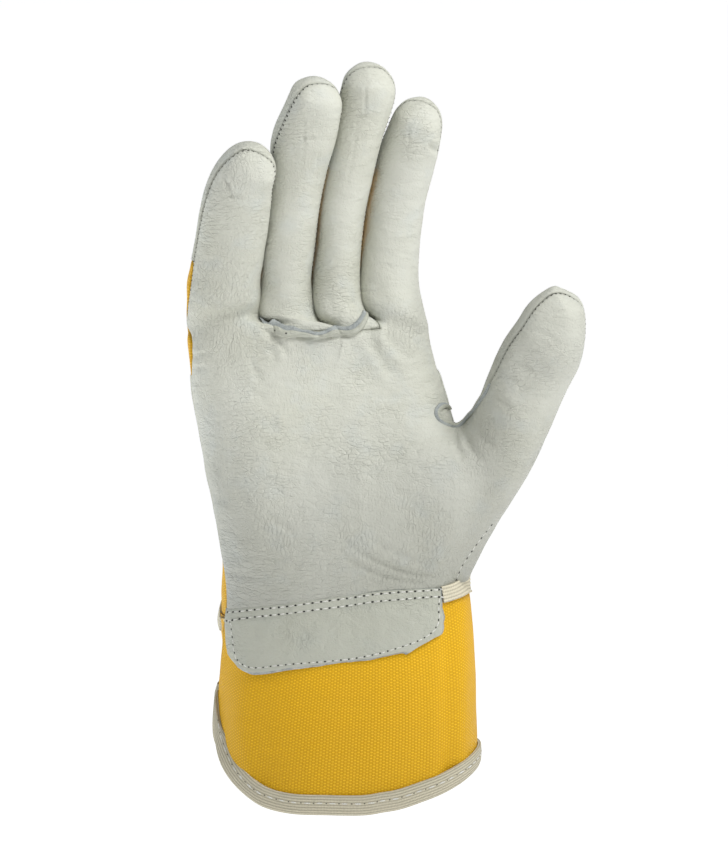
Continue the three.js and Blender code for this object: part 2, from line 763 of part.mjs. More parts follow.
// Front of the surface under a point seen from the palm side
function surfaceAt(x, z) {
  for (const { corners } of surface.faces) {
    for (const triangle of [[0, 1, 2], [0, 2, 3]]) {
      const indices = triangle.map((i) => corners[i]);
      const [a, b, c] = indices.map((index) => surface.points[index]);
      const area = (b.x - a.x) * (c.z - a.z) - (c.x - a.x) * (b.z - a.z);
      const second = ((x - a.x) * (c.z - a.z) - (c.x - a.x) * (z - a.z)) / area;
      const third = ((b.x - a.x) * (z - a.z) - (x - a.x) * (b.z - a.z)) / area;
      const shares = [1 - second - third, second, third];
      if (area > 0 && Math.min(...shares) >= 0) {
        const part = (list, i) => list[indices[i]].clone().multiplyScalar(shares[i]);
        const blend = (list) => sum([0, 1, 2].map((i) => part(list, i)));
        return { point: blend(surface.points), normal: blend(surface.normals).normalize() };
      }
    }
  }
  throw new Error("no surface there");
}

function pulsePatch() {
  const grid = patchStations.flatMap(({ x, top, bottom }) => {
    return Array.from({ length: patchRows + 1 }, (_, row) => {
      return surfaceAt(x, mix(top, bottom, row / patchRows));
    });
  });
  const faces = [];
  const down = patchRows + 1;
  for (let i = 0; i + 1 < patchStations.length; i += 1) {
    for (let row = 0; row < patchRows; row += 1) {
      const corner = i * down + row;
      faces.push({ corners: [corner, corner + 1, corner + 1 + down, corner + down] });
    }
  }
  const mesh = { points: grid.map(({ point }) => point), normals: grid.map(({ normal }) => normal) };
  return sheet(mesh, faces, patchGap, patchGap + leatherWall);
}

// Materials and assembly
function material(color, roughness) {
  return new THREE.MeshStandardMaterial({ color, roughness, metalness: 0 });
}

const leather = material(leatherColor, 0.6);
const canvas = material(canvasColor, 0.75);
const cotton = material(tapeColor, 0.85);
const glove = new THREE.Group();
glove.name = "leather_work_glove";

function addPiece(name, geometry, look) {
  const mesh = new THREE.Mesh(geometry, look);
  mesh.name = name;
  glove.add(mesh);
}

const sheets = [
  { name: "palm_leather", wall: leatherWall, look: leather },
  { name: "middle_fingers_front", wall: leatherWall, look: leather },
  { name: "hand_back_canvas", wall: canvasWall, look: canvas },
  { name: "fingertip_cap_little", wall: leatherWall, look: leather },
  { name: "fingertip_cap_ring", wall: leatherWall, look: leather },
  { name: "fingertip_cap_middle", wall: leatherWall, look: leather },
  { name: "index_back_leather", wall: leatherWall, look: leather },
  { name: "thumb_back_leather", wall: leatherWall, look: leather },
  { name: "cuff_canvas", wall: canvasWall, look: canvas },
];
sheets.forEach(({ name, wall, look }) => {
  addPiece(name, sheet(surface, surface.faces.filter(({ piece }) => piece === name), -wall, 0), look);
});

const strapEnds = new Set([0, handFaces].flatMap((column) => chain(hand.map(({ back }) => back[column]))));
const strapFaces = surface.faces.filter(({ zone, corners }) => {
  return zone === "strap" && !corners.some((corner) => strapEnds.has(corner));
});
addPiece("knuckle_strap", sheet(surface, strapFaces, layerGap, layerGap + strap.wall), leather);

const basePath = chain(hand[middleFingersRow].front.slice(fingerFaces, 3 * fingerFaces + 1));
addPiece("finger_base_welt", weltAlong(basePath), leather);

const crotchRow = [...[2, 1, 0].map((row) => thumb[row].front[0]), hand[thumbRow - 1].front.at(-1)];
addPiece("thumb_crotch_welt", weltAlong(chain(crotchRow).slice(0, -1)), leather);

const wristPath = chain([...wrist.front, ...wrist.back.slice(0, -1).reverse()]);
const tapeStart = wristPath.findIndex((index) => surface.points[index].x >= tape.startX);
addPiece("wrist_tape", tapeRound(wristPath.slice(tapeStart, -1)), cotton);

const [splitTop, ...lowerCuff] = cuff;
const rimPath = chain([
  splitTop.front[0],
  ...lowerCuff.slice(0, -1).map(({ front }) => front[0]),
  ...cuff.at(-1).front,
  ...cuff.at(-1).back.slice(0, -1).reverse(),
  ...lowerCuff.slice(0, -1).map(({ back }) => back[0]).reverse(),
  splitTop.front[0],
]);
addPiece("cuff_binding", bindingAlong(rimPath.slice(1, -1)), cotton);
addPiece("pulse_patch", pulsePatch(), leather);

export default glove;
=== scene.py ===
# A rigger work glove for the right hand: pale hide palm and finger fronts, yellow canvas back and safety
# cuff, and a cream bound hem. It keeps the form of the hand that wears it. The palm faces -Y, the
# fingers point along +Z, and the origin is the middle of the wrist.
import math

import bpy
import numpy as np
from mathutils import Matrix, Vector, noise
from mathutils.bvhtree import BVHTree
from mathutils.kdtree import KDTree


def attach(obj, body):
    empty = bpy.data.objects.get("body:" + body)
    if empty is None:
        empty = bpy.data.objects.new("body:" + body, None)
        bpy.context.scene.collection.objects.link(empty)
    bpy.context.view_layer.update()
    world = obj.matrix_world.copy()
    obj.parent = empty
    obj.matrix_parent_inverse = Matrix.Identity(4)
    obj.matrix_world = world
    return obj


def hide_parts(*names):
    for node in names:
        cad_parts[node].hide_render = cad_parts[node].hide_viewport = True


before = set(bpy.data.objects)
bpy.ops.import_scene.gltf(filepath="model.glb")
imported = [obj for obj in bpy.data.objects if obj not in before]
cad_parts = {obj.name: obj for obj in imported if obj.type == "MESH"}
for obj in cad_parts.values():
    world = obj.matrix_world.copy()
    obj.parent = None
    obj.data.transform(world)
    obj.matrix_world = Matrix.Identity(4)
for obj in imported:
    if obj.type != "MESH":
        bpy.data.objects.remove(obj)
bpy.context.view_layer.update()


# Studio: a pale floor well below the held-up glove, soft light from above and from both sides, and the
# camera before the palm, raised by eight degrees.
FLOOR_HEIGHT = -0.32
FLOOR_REACH = 30.0
FLOOR_COLOUR = (0.93, 0.93, 0.93, 1)
FLOOR_GLOW = 0.77
VIEW_HEIGHT = 0.3036
VIEW_DISTANCE = 1.3
VIEW_RISE = math.radians(8)
LOOK_AT = Vector((0.006707, 0.0, 0.06238))
SENSOR = 36
# Place, size, power and colour of each soft lamp
LAMPS = {
    "key_softbox": ((0.41, -0.36, 0.74), (0.42, 0.42), 6.4, (1.0, 1.0, 1.0)),
    "left_rim": ((-0.8, 0.25, 0.2), (0.25, 0.8), 2.4, (0.9, 0.95, 1.0)),
    "right_rim": ((1.0, 0.0, 0.2), (0.3, 0.8), 0.6, (1.0, 1.0, 1.0)),
}
AIR_COLOUR = (0.97, 0.98, 1.0, 1)
AIR_STRENGTH = 0.26


def pale_floor():
    material = bpy.data.materials.new("pale_floor")
    material.use_nodes = True
    shader = material.node_tree.nodes["Principled BSDF"]
    shader.inputs["Base Color"].default_value = FLOOR_COLOUR
    shader.inputs["Roughness"].default_value = 0.9
    shader.inputs["Emission Color"].default_value = (1, 1, 1, 1)
    shader.inputs["Emission Strength"].default_value = FLOOR_GLOW
    mesh = bpy.data.meshes.new("studio_floor")
    corners = [(-1, -1), (1, -1), (1, 1), (-1, 1)]
    places = [(x * FLOOR_REACH, y * FLOOR_REACH, FLOOR_HEIGHT) for x, y in corners]
    mesh.from_pydata(places, [], [(0, 1, 2, 3)])
    mesh.materials.append(material)
    floor = bpy.data.objects.new("studio_floor", mesh)
    bpy.context.collection.objects.link(floor)


def soft_light(name, place, size, power, colour):
    lamp = bpy.data.lights.new(name, "AREA")
    lamp.shape = "RECTANGLE"
    lamp.size, lamp.size_y = size
    lamp.energy = power
    lamp.color = colour
    light = bpy.data.objects.new(name, lamp)
    light.location = place
    light.rotation_euler = (LOOK_AT - Vector(place)).to_track_quat("-Z", "Y").to_euler()
    bpy.context.collection.objects.link(light)


def photo_camera():
    data = bpy.data.cameras.new("photo_camera")
    data.sensor_fit = "VERTICAL"
    data.sensor_height = SENSOR
    data.lens = SENSOR * VIEW_DISTANCE / VIEW_HEIGHT
    data.clip_end = 100
    camera = bpy.data.objects.new("photo_camera", data)
    away = Vector((0, -math.cos(VIEW_RISE), math.sin(VIEW_RISE)))
    camera.location = LOOK_AT + VIEW_DISTANCE * away
    camera.rotation_euler = (-away).to_track_quat("-Z", "Y").to_euler()
    bpy.context.collection.objects.link(camera)
    bpy.context.scene.camera = camera


pale_floor()
photo_camera()
for name, lamp in LAMPS.items():
    soft_light(name, *lamp)
world = bpy.data.worlds.new("studio_air")
world.use_nodes = True
air = world.node_tree.nodes["Background"].inputs
air["Color"].default_value = AIR_COLOUR
air["Strength"].default_value = AIR_STRENGTH
bpy.context.scene.world = world
bpy.context.scene.view_settings.view_transform = "Standard"


# Palm leather: the palm and the fronts of the little finger, index finger and thumb in one piece of
# grain hide, and the piece that gives the glove its form. The form is a smooth surface through short
# tables of sections, in millimetres, and every cut piece is taken from it along the seams.
HIDE_WALL = 1.6
SEAM_GAP = 0.16
FINGER_FACES = 3
HAND_FACES = 4 * FINGER_FACES
FINGER_ROUND = 0.92
PALM_ROUND = 0.8


def rows(columns, *values):
    return [dict(zip(columns.split(), row)) for row in values]


FINGER_COLUMNS = "x y z width depth left right"
LITTLE_ROWS = rows(
    FINGER_COLUMNS,
    (-42.7, -8, 112.7, 25.6, 25, 26, 0),
    (-41.2, -12.6, 122.6, 24.9, 23.7, 26, 0),
    (-37.5, -22, 143.6, 24.4, 21.5, 31, 0),
    (-34, -26.5, 154.6, 21.6, 20, 36, 5),
)
RING_ROWS = rows(
    FINGER_COLUMNS,
    (-21, -3.5, 112.4, 18.6, 23, 0, 0),
    (-19.8, -8.5, 128.6, 19, 22, 0, 0),
    (-17.9, -12.5, 142.9, 18.6, 21, 10, 0),
    (-16, -16, 157.1, 20.6, 20.5, 28, 0),
    (-14.2, -19.5, 166.6, 22, 20, 38, 0),
    (-10.4, -23.5, 178.4, 19.6, 19, 42, 0),
)
MIDDLE_ROWS = rows(
    FINGER_COLUMNS,
    (-3.3, 0, 112.2, 17, 23, 0, 0),
    (-2.4, -2.5, 128.2, 16.6, 22, 0, 0),
    (-1.1, -5.5, 142.4, 17.3, 21.5, 0, 0),
    (1.5, -8.5, 156.5, 18, 21, 0, 0),
    (4.9, -12, 169.9, 18.4, 20, 5, 4),
    (8.1, -16, 182.8, 19.2, 19, 16, 6),
)
INDEX_ROWS = rows(
    FINGER_COLUMNS,
    (15.8, 2.5, 112, 21.2, 23.5, 0, -8),
    (16, 3, 128, 21.2, 22, 0, -10),
    (17.7, 1.5, 142.2, 20.8, 21.5, 0, -10),
    (21, -2, 156.4, 20.6, 20.5, 0, 0),
    (24.6, -7, 169.5, 18.8, 19, 5, 8),
)
FINGERS = rows(
    "name rows tip front cap cap_row",
    ("little", LITTLE_ROWS, (-27.6, -31.6, 162.9), "palm_leather", "fingertip_cap_little", 2),
    ("ring", RING_ROWS, (-8.7, -27.6, 186.8), "middle_fingers_front", "fingertip_cap_ring", 4),
    ("middle", MIDDLE_ROWS, (7.3, -20, 191.7), "middle_fingers_front", "fingertip_cap_middle", 4),
    ("index", INDEX_ROWS, (27.7, -10.8, 179.1), "palm_leather", "index_back_leather", 0),
)
TIP_LATITUDES = (36, 66)
ROOT_CORNERS = [(-55.4, -3, 100.3), (-29.1, -3, 100.3), (-8.4, -1.5, 99.1), (8.1, 0, 102.0), (28.9, 0, 100.7)]
ROOT_FRONT = 13
ROOT_BACK = 13.5
ROOT_LIFT = 4
HAND_ROWS = rows(
    "left left_y left_z right thumb thumb_z front back turn follow",
    (-55.4, -3, 95.3, 29.6, 29.6, 95.3, 15.5, 15, 18, 1),
    (-54.2, -1.5, 83, 33, 33, 83, 17, 17, 6, 0.8),
    (-52.2, 0, 66, 38, 38, 66.3, 19, 18.5, 0, 0.3),
    (-49.6, 0, 51.5, 66, 37, 54, 22, 19, 0, 0),
    (-46.6, 0, 36, 60, 36, 40.5, 25.4, 20.5, 3, 0),
    (-43.5, 0, 19, 50.8, 36.5, 27, 27.2, 23, 15, 0),
    (-44.2, 0, 3, 43.7, 40, 14.5, 26, 26, 23, 0),
    (-44.6, 0, -3, 43.4, 43.4, 8.2, 25.2, 27, 23, 0),
)
BASE_SEAM = rows(
    "column lift", (0, 0), (2, 2), (3, 4.2), (5, 4), (6, 3), (7, 4), (9, 5), (10, 3), (12, 0)
)
MIDDLE_FINGERS_ROW = 1
INDEX_BACK_ROW = 2
THUMB_ROW = 3
STRAP_ROWS = (2, 4)
EVEN_SHARE = 0.5
THUMB_ROWS = rows(
    "x y z width depth turn left right even lean",
    (48.5, -3.5, 49, 42.4, 32, -78, 16, 8, 0.8, 0),
    (58.4, -10, 68.6, 38.2, 30.5, -67, 32, -10, 0.4, 0.25),
    (66.2, -16, 87, 29.8, 25, -48.5, 35, -18, 0, 0.7),
    (70.6, -19.5, 95.5, 27, 23.5, -41, 35, -16, 0, 1),
    (73.6, -22, 103.5, 22.8, 20.5, -33, 32, -12, 0, 1),
)
THUMB_TIP = (77.4, -25.6, 113.3)
THUMB_LATITUDES = (50,)
THUMB_CROWN = 0.2
CUFF_ROWS = rows(
    "drop left right front back split_front split_back",
    (0.11, -45.2, 44.8, 26.8, 28, 20, 20),
    (0.58, -45.6, 46.8, 31, 31, 7, -2),
    (1, -46.5, 47.3, 32.5, 32.5, 22, -8),
)
HEM = rows(
    "column front back",
    (0, -53, -51.5),
    (1, -63.2, -60.5),
    (2, -66.8, -62.5),
    (3, -68, -63),
    (5, -68.2, -63.2),
    (7, -66.4, -62.2),
    (9, -62.4, -60.2),
    (11, -58, -57.6),
    (12, -56.6, -56.6),
)
SWELLS = rows(
    "side x z reach_x reach_z height",
    ("front", -8, 60, 20, 26, -4),
    ("front", 42, 42, 22, 24, 4.6),
    ("front", -34, 34, 12, 24, 2),
    ("back", -10, 88, 34, 12, 2),
)
FORWARD = np.array([0.0, -1.0, 0.0])
cage_points = []
cage_cloth = []
cage_faces = []


def unit(vector):
    return vector / np.linalg.norm(vector)


def mix(a, b, share):
    return a + (b - a) * share


def middle_of(row):
    return np.array([row["x"], row["y"], row["z"]], float)


def value_at(table, place, key):
    """A table's value between its rows, which its first column places."""
    station = next(iter(table[0]))
    return np.interp(place, [row[station] for row in table], [row[key] for row in table])


def lengths_along(points):
    return np.concatenate([[0], np.cumsum(np.linalg.norm(np.diff(points, axis=0), axis=1))])


def section_of(centre, across, half, front, back, rounding, toward=FORWARD):
    return {
        "centre": centre, "across": across, "toward": toward, "half": half, "front": front, "back": back,
        "round": rounding,
    }


def section_point(section, degrees):
    angle = math.radians(degrees)
    across, toward = [
        math.copysign(abs(value) ** section["round"], value) for value in (math.cos(angle), math.sin(angle))
    ]
    depth = section["front"] if toward > 0 else section["back"]
    edge = section["centre"] - section["across"] * section["half"] * across
    return edge + section["toward"] * depth * toward


def swell_at(side, point):
    total = 0.0
    for swell in SWELLS:
        if swell["side"] == side:
            far = ((point[0] - swell["x"]) / swell["reach_x"]) ** 2
            far += ((point[2] - swell["z"]) / swell["reach_z"]) ** 2
            total += swell["height"] * math.exp(-far)
    return total


def add_point(point):
    cage_points.append(np.array(point, float))
    cage_cloth.append([point[0], point[2]])
    return len(cage_points) - 1


def add_arc(section, side, shares, start, end, known):
    outward = 1 if side == "front" else -1
    arc = []
    for number, share in enumerate(shares):
        if number in known:
            arc.append(known[number])
            continue
        point = section_point(section, mix(start, end, share))
        arc.append(add_point(point + section["toward"] * outward * swell_at(side, point)))
    return arc


def width_shares(faces, even):
    return [
        mix((1 - math.cos(math.pi * column / faces)) / 2, column / faces, even)
        for column in range(faces + 1)
    ]


def angle_at(place, power):
    out = min(1.0, max(-1.0, place))
    return math.degrees(math.acos(-math.copysign(abs(out) ** (1 / power), out)))


def ring_shares(faces, even):
    return [angle_at(2 * share - 1, FINGER_ROUND) / 180 for share in width_shares(faces, even)]


def lay_cloth(arc, middle, height):
    """The flat place of each point of a back row, measured along the cloth."""
    points = np.array([cage_points[index] for index in arc])
    lengths = lengths_along(points)
    for index, length in zip(arc, lengths):
        cage_cloth[index] = [middle + length - lengths[-1] / 2, height]


def add_ring(section, shares, left_turn, right_turn, height=None):
    """Points round a section, from side seam to side seam on the front and again on the back."""
    left = add_point(section_point(section, left_turn))
    right = add_point(section_point(section, 180 - right_turn))
    known = {0: left, len(shares) - 1: right}
    front = add_arc(section, "front", shares, left_turn, 180 - right_turn, known)
    back = add_arc(section, "back", shares, left_turn, -180 - right_turn, known)
    lay_cloth(back, section["centre"][0], section["centre"][2] if height is None else height)
    return front, back


def add_strip(upper, lower, side, pieces, zone=""):
    """Faces between two rows of points, of the named piece or of a list with one for each column."""
    for number in range(len(upper) - 1):
        piece = pieces if isinstance(pieces, str) else pieces[number]
        corners = [upper[number], lower[number], lower[number + 1], upper[number + 1]]
        if side == "back":
            corners.reverse()
        cage_faces.append((piece, zone, side, corners))


def tube_section(row, axis):
    if "turn" in row:
        slope = math.radians(row["turn"])
        across = np.array([math.cos(slope), 0, math.sin(slope)])
    else:
        across = unit(np.cross(axis, FORWARD))
    square = unit(np.cross(across, axis))
    depth = row["depth"] / 2
    toward = unit(mix(FORWARD, square, row.get("lean", 1)))
    return section_of(middle_of(row), across, row["width"] / 2, depth, depth, FINGER_ROUND, toward)


def add_tube(tube_rows, tip, latitudes, start, faces):
    centres = [start] + [middle_of(row) for row in tube_rows] + [np.array(tip, float)]
    rings = []
    height = start[2]
    for number, row in enumerate(tube_rows):
        axis = unit(centres[number + 2] - centres[number])
        height += np.linalg.norm(centres[number + 1] - centres[number])
        shares = ring_shares(faces, row.get("even", 0))
        rings.append(add_ring(tube_section(row, axis), shares, row["left"], row["right"], height))
    last = tube_rows[-1]
    rise = np.array(tip, float) - middle_of(last)
    for latitude in latitudes:
        section = tube_section(last, unit(rise))
        section["centre"] = section["centre"] + rise * math.sin(math.radians(latitude))
        for key in ("half", "front", "back"):
            section[key] *= math.cos(math.radians(latitude))
        rings.append(add_ring(section, ring_shares(faces, 0), last["left"], last["right"], height))
    return rings


def tip_seam(ring, rise):
    """The row of points where front and back meet over the tip."""
    front, back = ring
    faces = len(front) - 1
    seam = [front[0]]
    for column in range(2, faces - 1):
        middle = (cage_points[front[column]] + cage_points[back[column]]) / 2
        seam.append(add_point(middle + rise * math.sin(math.pi * column / faces)))
    return seam + [front[faces]]


corners_at_roots = [add_point(corner) for corner in ROOT_CORNERS]


def root_section(number):
    left, right = (np.array(ROOT_CORNERS[number + step], float) for step in (0, 1))
    middle, half = (left + right) / 2, np.linalg.norm(right - left) / 2
    return section_of(middle, unit(right - left), half, ROOT_FRONT, ROOT_BACK, FINGER_ROUND)


finger_roots = []
for number in range(len(FINGERS)):
    root = root_section(number)
    known = {0: corners_at_roots[number], FINGER_FACES: corners_at_roots[number + 1]}
    front = add_arc(root, "front", ring_shares(FINGER_FACES, 0), 0, 180, known)
    for index in front[1:-1]:
        cage_points[index][2] += ROOT_LIFT
    back = add_arc(root, "back", ring_shares(FINGER_FACES, 0), 0, -180, known)
    finger_roots.append((front, back))
root_row = tuple(
    [index for number, root in enumerate(finger_roots) for index in root[side][1 if number else 0:]]
    for side in (0, 1)
)
root_line = [cage_points[index][0] for index in root_row[0]]
root_shares = [(x - root_line[0]) / (root_line[-1] - root_line[0]) for x in root_line]


def column_angles(middle, half, start, end, follow):
    """Angles of the hand's columns round a section. Near the roots they follow the fingers."""
    shares = [
        mix(width, root_shares[column], follow)
        for column, width in enumerate(width_shares(HAND_FACES, EVEN_SHARE))
    ]
    return [angle_at((mix(start, end, share) - middle) / half, PALM_ROUND) for share in shares]


hand_sections = [root_row]
for row in HAND_ROWS:
    slope = (row["thumb_z"] - row["left_z"]) / (row["thumb"] - row["left"])
    half = (row["right"] - row["left"]) / 2
    middle = row["left"] + half
    centre = np.array([middle, row["left_y"] / 2, row["left_z"] + half * slope])
    across = np.array([1, -row["left_y"] / (2 * half), slope])
    section = section_of(centre, across, half, row["front"], row["back"], PALM_ROUND)
    angles = column_angles(middle, half, row["left"], row["thumb"], row["follow"])
    reach = angles[-1]
    shares = [angle / reach for angle in angles]
    if row["thumb"] == row["right"]:
        hand_sections.append(add_ring(section, shares, row["turn"], 0))
    else:
        known = {0: add_point(section_point(section, row["turn"]))}
        front = add_arc(section, "front", shares, row["turn"], reach, known)
        back = add_arc(section, "back", shares, row["turn"], -reach, known)
        lay_cloth(back, mix(row["left"], row["thumb"], 0.5), section["centre"][2])
        hand_sections.append((front, back))
for column, index in enumerate(hand_sections[MIDDLE_FINGERS_ROW][0]):
    cage_points[index][2] += value_at(BASE_SEAM, column, "lift")
wrist_row = hand_sections[-1]


def hand_pieces(row):
    """The pieces of the hand's columns, from the little-finger side, on the front and on the back."""
    front, back = ["palm_leather"] * HAND_FACES, ["hand_back_canvas"] * HAND_FACES
    if row < MIDDLE_FINGERS_ROW:
        front[FINGER_FACES:3 * FINGER_FACES] = ["middle_fingers_front"] * (2 * FINGER_FACES)
    if row < INDEX_BACK_ROW:
        back[3 * FINGER_FACES:] = ["index_back_leather"] * FINGER_FACES
    return front, back


for row, (upper, lower) in enumerate(zip(hand_sections, hand_sections[1:])):
    front, back = hand_pieces(row)
    add_strip(upper[0], lower[0], "front", front)
    add_strip(upper[1], lower[1], "back", back, "strap" if STRAP_ROWS[0] <= row < STRAP_ROWS[1] else "")
seam_paths = {}


def cover_tube(name, rings, front, cap, cap_row, rise):
    """The faces round a finger or the thumb and over its tip, and the path of its side seams."""
    for row in range(len(rings) - 1):
        add_strip(rings[row + 1][0], rings[row][0], "front", front)
        add_strip(rings[row + 1][1], rings[row][1], "back", cap if row >= cap_row else "hand_back_canvas")
    seam = tip_seam(rings[-1], rise)
    add_strip(seam, rings[-1][0][1:-1], "front", front)
    add_strip(seam, rings[-1][1][1:-1], "back", cap)
    left, right = ([ring[0][end] for ring in rings] for end in (0, -1))
    seam_paths[name] = left + seam[1:-1] + right[::-1]


for number, finger in enumerate(FINGERS):
    name, cap_row, start = finger["name"], finger["cap_row"], root_section(number)["centre"]
    rings = add_tube(finger["rows"], finger["tip"], TIP_LATITUDES, start, FINGER_FACES)
    rings.insert(0, finger_roots[number])
    cover_tube(name + "_tip", rings, finger["front"], finger["cap"], cap_row, np.zeros(3))
    seam_paths[name + "_cap"] = rings[cap_row][1]

thumb_root = tuple([section[side][-1] for section in hand_sections[THUMB_ROW:]] for side in (0, 1))
thumb_faces = len(thumb_root[0]) - 1
thumb_start = np.mean([cage_points[index] for index in thumb_root[0]], axis=0)
thumb_rings = [thumb_root] + add_tube(THUMB_ROWS, THUMB_TIP, THUMB_LATITUDES, thumb_start, thumb_faces)
thumb_rise = (np.array(THUMB_TIP, float) - middle_of(THUMB_ROWS[-1])) * THUMB_CROWN
cover_tube("thumb", thumb_rings, "palm_leather", "thumb_back_leather", 0, thumb_rise)
seam_paths["thumb_back"] = thumb_root[1]


def cuff_arc(row, side, start, known):
    half = (row["right"] - row["left"]) / 2
    middle = row["left"] + half
    centre, across = np.array([middle, 0.0, 0.0]), np.array([1.0, 0.0, 0.0])
    section = section_of(centre, across, half, row["front"], row["back"], PALM_ROUND)
    shares = [angle / 180 for angle in column_angles(middle, half, row["left"], row["right"], 0)]
    arc = add_arc(section, side, shares, start, 180 if side == "front" else -180, known)
    wrist_arc = wrist_row[0 if side == "front" else 1]
    for column, index in enumerate(arc):
        top = cage_points[wrist_arc[column]][2]
        cage_points[index][2] = mix(top, value_at(HEM, column, side), row["drop"])
    return arc


cuff_rings = []
for row in CUFF_ROWS:
    front = cuff_arc(row, "front", row["split_front"], {})
    known = {HAND_FACES: front[-1]}
    if row["split_back"] == row["split_front"]:
        known[0] = front[0]
    cuff_rings.append((front, cuff_arc(row, "back", row["split_back"], known)))
for upper, lower in zip([wrist_row] + cuff_rings[:-1], cuff_rings):
    add_strip(upper[0], lower[0], "front", "cuff_canvas")
    add_strip(upper[1], lower[1], "back", "cuff_canvas")
seam_paths["finger_base"] = hand_sections[MIDDLE_FINGERS_ROW][0][FINGER_FACES:3 * FINGER_FACES + 1]
seam_paths["wrist"] = wrist_row[0] + wrist_row[1][-2::-1]
seam_paths["hem"] = (
    [ring[0][0] for ring in cuff_rings[:-1]] + cuff_rings[-1][0] + cuff_rings[-1][1][-2::-1]
    + [ring[1][0] for ring in cuff_rings[-2::-1]]
)
for key, side in (("strap_top", 0), ("strap_bottom", 1)):
    seam_paths[key] = hand_sections[STRAP_ROWS[side]][1]


# The surface meets every point of the tables: the cage is moved until its limit surface does.
MEET_PASSES = 40
DIVISIONS = 4
INNER_DIVISIONS = 2
EDGE_STRIDE = 1 << 22


def gathered(places, values, count):
    """The values added up at each of their places."""
    return np.stack([np.bincount(places, values[:, i], count) for i in range(values.shape[1])], axis=1)


def edges_of(faces):
    """Each edge's key and two ends, the edge at every corner of the faces, and the faces on each edge."""
    pairs = np.stack([faces, np.roll(faces, -1, axis=1)], axis=2).reshape(-1, 2)
    both = pairs.min(axis=1) * EDGE_STRIDE + pairs.max(axis=1)
    keys, first, at_corner, count = np.unique(
        both, return_index=True, return_inverse=True, return_counts=True
    )
    return keys, pairs[first], at_corner.reshape(-1), count


def around_points(points, ends, rim):
    """The neighbours of each point added up, along all edges or along the rim alone."""
    chosen = ends if rim is None else ends[rim]
    total = gathered(chosen[:, 0], points[chosen[:, 1]], len(points))
    return total + gathered(chosen[:, 1], points[chosen[:, 0]], len(points))


def limit_of(points, faces, edges):
    """Where the points come to lie after endless division."""
    _, ends, _, count = edges
    valence = np.bincount(ends.ravel(), minlength=len(points))[:, None]
    across = gathered(faces.ravel(), points[np.roll(faces, -2, axis=1).ravel()], len(points))
    limit = valence ** 2 * points + 4 * around_points(points, ends, None) + across
    limit /= valence * (valence + 5)
    rim = count == 1
    on_rim = np.unique(ends[rim])
    limit[on_rim] = ((4 * points + around_points(points, ends, rim)) / 6)[on_rim]
    return limit


def divided(points, faces, edges):
    """One Catmull-Clark division: every face becomes four."""
    _, ends, at_corner, count = edges
    centres = points[faces].mean(axis=1)
    spread = np.repeat(centres, 4, axis=0)
    shared = gathered(at_corner, spread, len(ends))
    middles = points[ends].mean(axis=1)
    inner = count == 2
    middles[inner] = (2 * middles[inner] + shared[inner]) / 4
    valence = np.bincount(ends.ravel(), minlength=len(points))[:, None]
    moved = (
        gathered(faces.ravel(), spread, len(points)) / valence
        + around_points(points, ends, None) / valence
        + points * (valence - 2)
    ) / valence
    rim = count == 1
    on_rim = np.unique(ends[rim])
    moved[on_rim] = ((6 * points + around_points(points, ends, rim)) / 8)[on_rim]
    first_edge = len(points)
    first_centre = first_edge + len(ends)
    corner_edges = at_corner.reshape(-1, 4) + first_edge
    numbers = np.arange(len(faces)) + first_centre
    quarters = [
        np.stack([faces[:, i], corner_edges[:, i], numbers, corner_edges[:, i - 1]], axis=1) for i in range(4)
    ]
    return np.concatenate([moved, middles, centres]), np.stack(quarters, axis=1).reshape(-1, 4)


def divided_path(path, keys, first_edge):
    ends = np.stack([path[:-1], path[1:]], axis=1)
    middle = first_edge + np.searchsorted(keys, ends.min(axis=1) * EDGE_STRIDE + ends.max(axis=1))
    longer = np.empty(2 * len(path) - 1, int)
    longer[0::2], longer[1::2] = path, middle
    return longer


tags = sorted({(piece, zone, side) for piece, zone, side, _ in cage_faces})
face_tags = np.array([tags.index(face[:3]) for face in cage_faces])
faces = np.array([face[3] for face in cage_faces])
target = np.concatenate([np.array(cage_points), np.array(cage_cloth)], axis=1)
points = target.copy()
edges = edges_of(faces)
for _ in range(MEET_PASSES):
    points += target - limit_of(points, faces, edges)
paths = {name: np.array(path) for name, path in seam_paths.items()}
for level in range(DIVISIONS):
    if level == INNER_DIVISIONS:
        inner_faces = faces
    keys = edges[0]
    paths = {name: divided_path(path, keys, len(points)) for name, path in paths.items()}
    points, faces = divided(points, faces, edges)
    edges = edges_of(faces)
inner_tags = np.repeat(face_tags, 4 ** INNER_DIVISIONS)
face_tags = np.repeat(face_tags, 4 ** DIVISIONS)
surface = limit_of(points, faces, edges)
form, cloth = surface[:, :3], surface[:, 3:]


def normals_of(places, quads):
    facing = np.cross(places[quads[:, 2]] - places[quads[:, 0]], places[quads[:, 3]] - places[quads[:, 1]])
    total = gathered(quads.ravel(), np.repeat(facing, 4, axis=0), len(places))
    return total / np.maximum(np.linalg.norm(total, axis=1), 1e-9)[:, None]


form_normals = normals_of(form, faces)
form_tree = BVHTree.FromPolygons(form.tolist(), faces.tolist())


# Row of holes above which the palm hide puffs out over the patch
WRIST_LINE = rows(
    "x z",
    (-41.2, -0.1), (-37.5, 0.8), (-28.2, 2.6), (-16.5, 4.4), (-7.6, 5.8), (1.5, 7.0), (10.5, 8.3),
    (19.9, 8.9), (32.9, 8.9),
)
# The puff's height at each height above that row, and its share from edge to edge of the wrist
PUFF_SHAPE = rows(
    "above height", (-1.5, 0), (0.3, 0.2), (1.4, 0.75), (3.2, 0.9), (8, 1.3), (16, 2.1), (26, 2.8), (36, 3.0),
    (46, 2.6), (58, 1.5), (70, 0.4), (76, 0),
)
PUFF_ENDS = rows("x share", (-47, 0.5), (-42, 1), (6, 1), (46, 0.1))
# The hollow of the palm, a shallow valley from its low end to its high end
CUP = {"low_x": 17, "high_x": 6, "width": 14, "depth": 1.9, "low": 42, "high": 96}
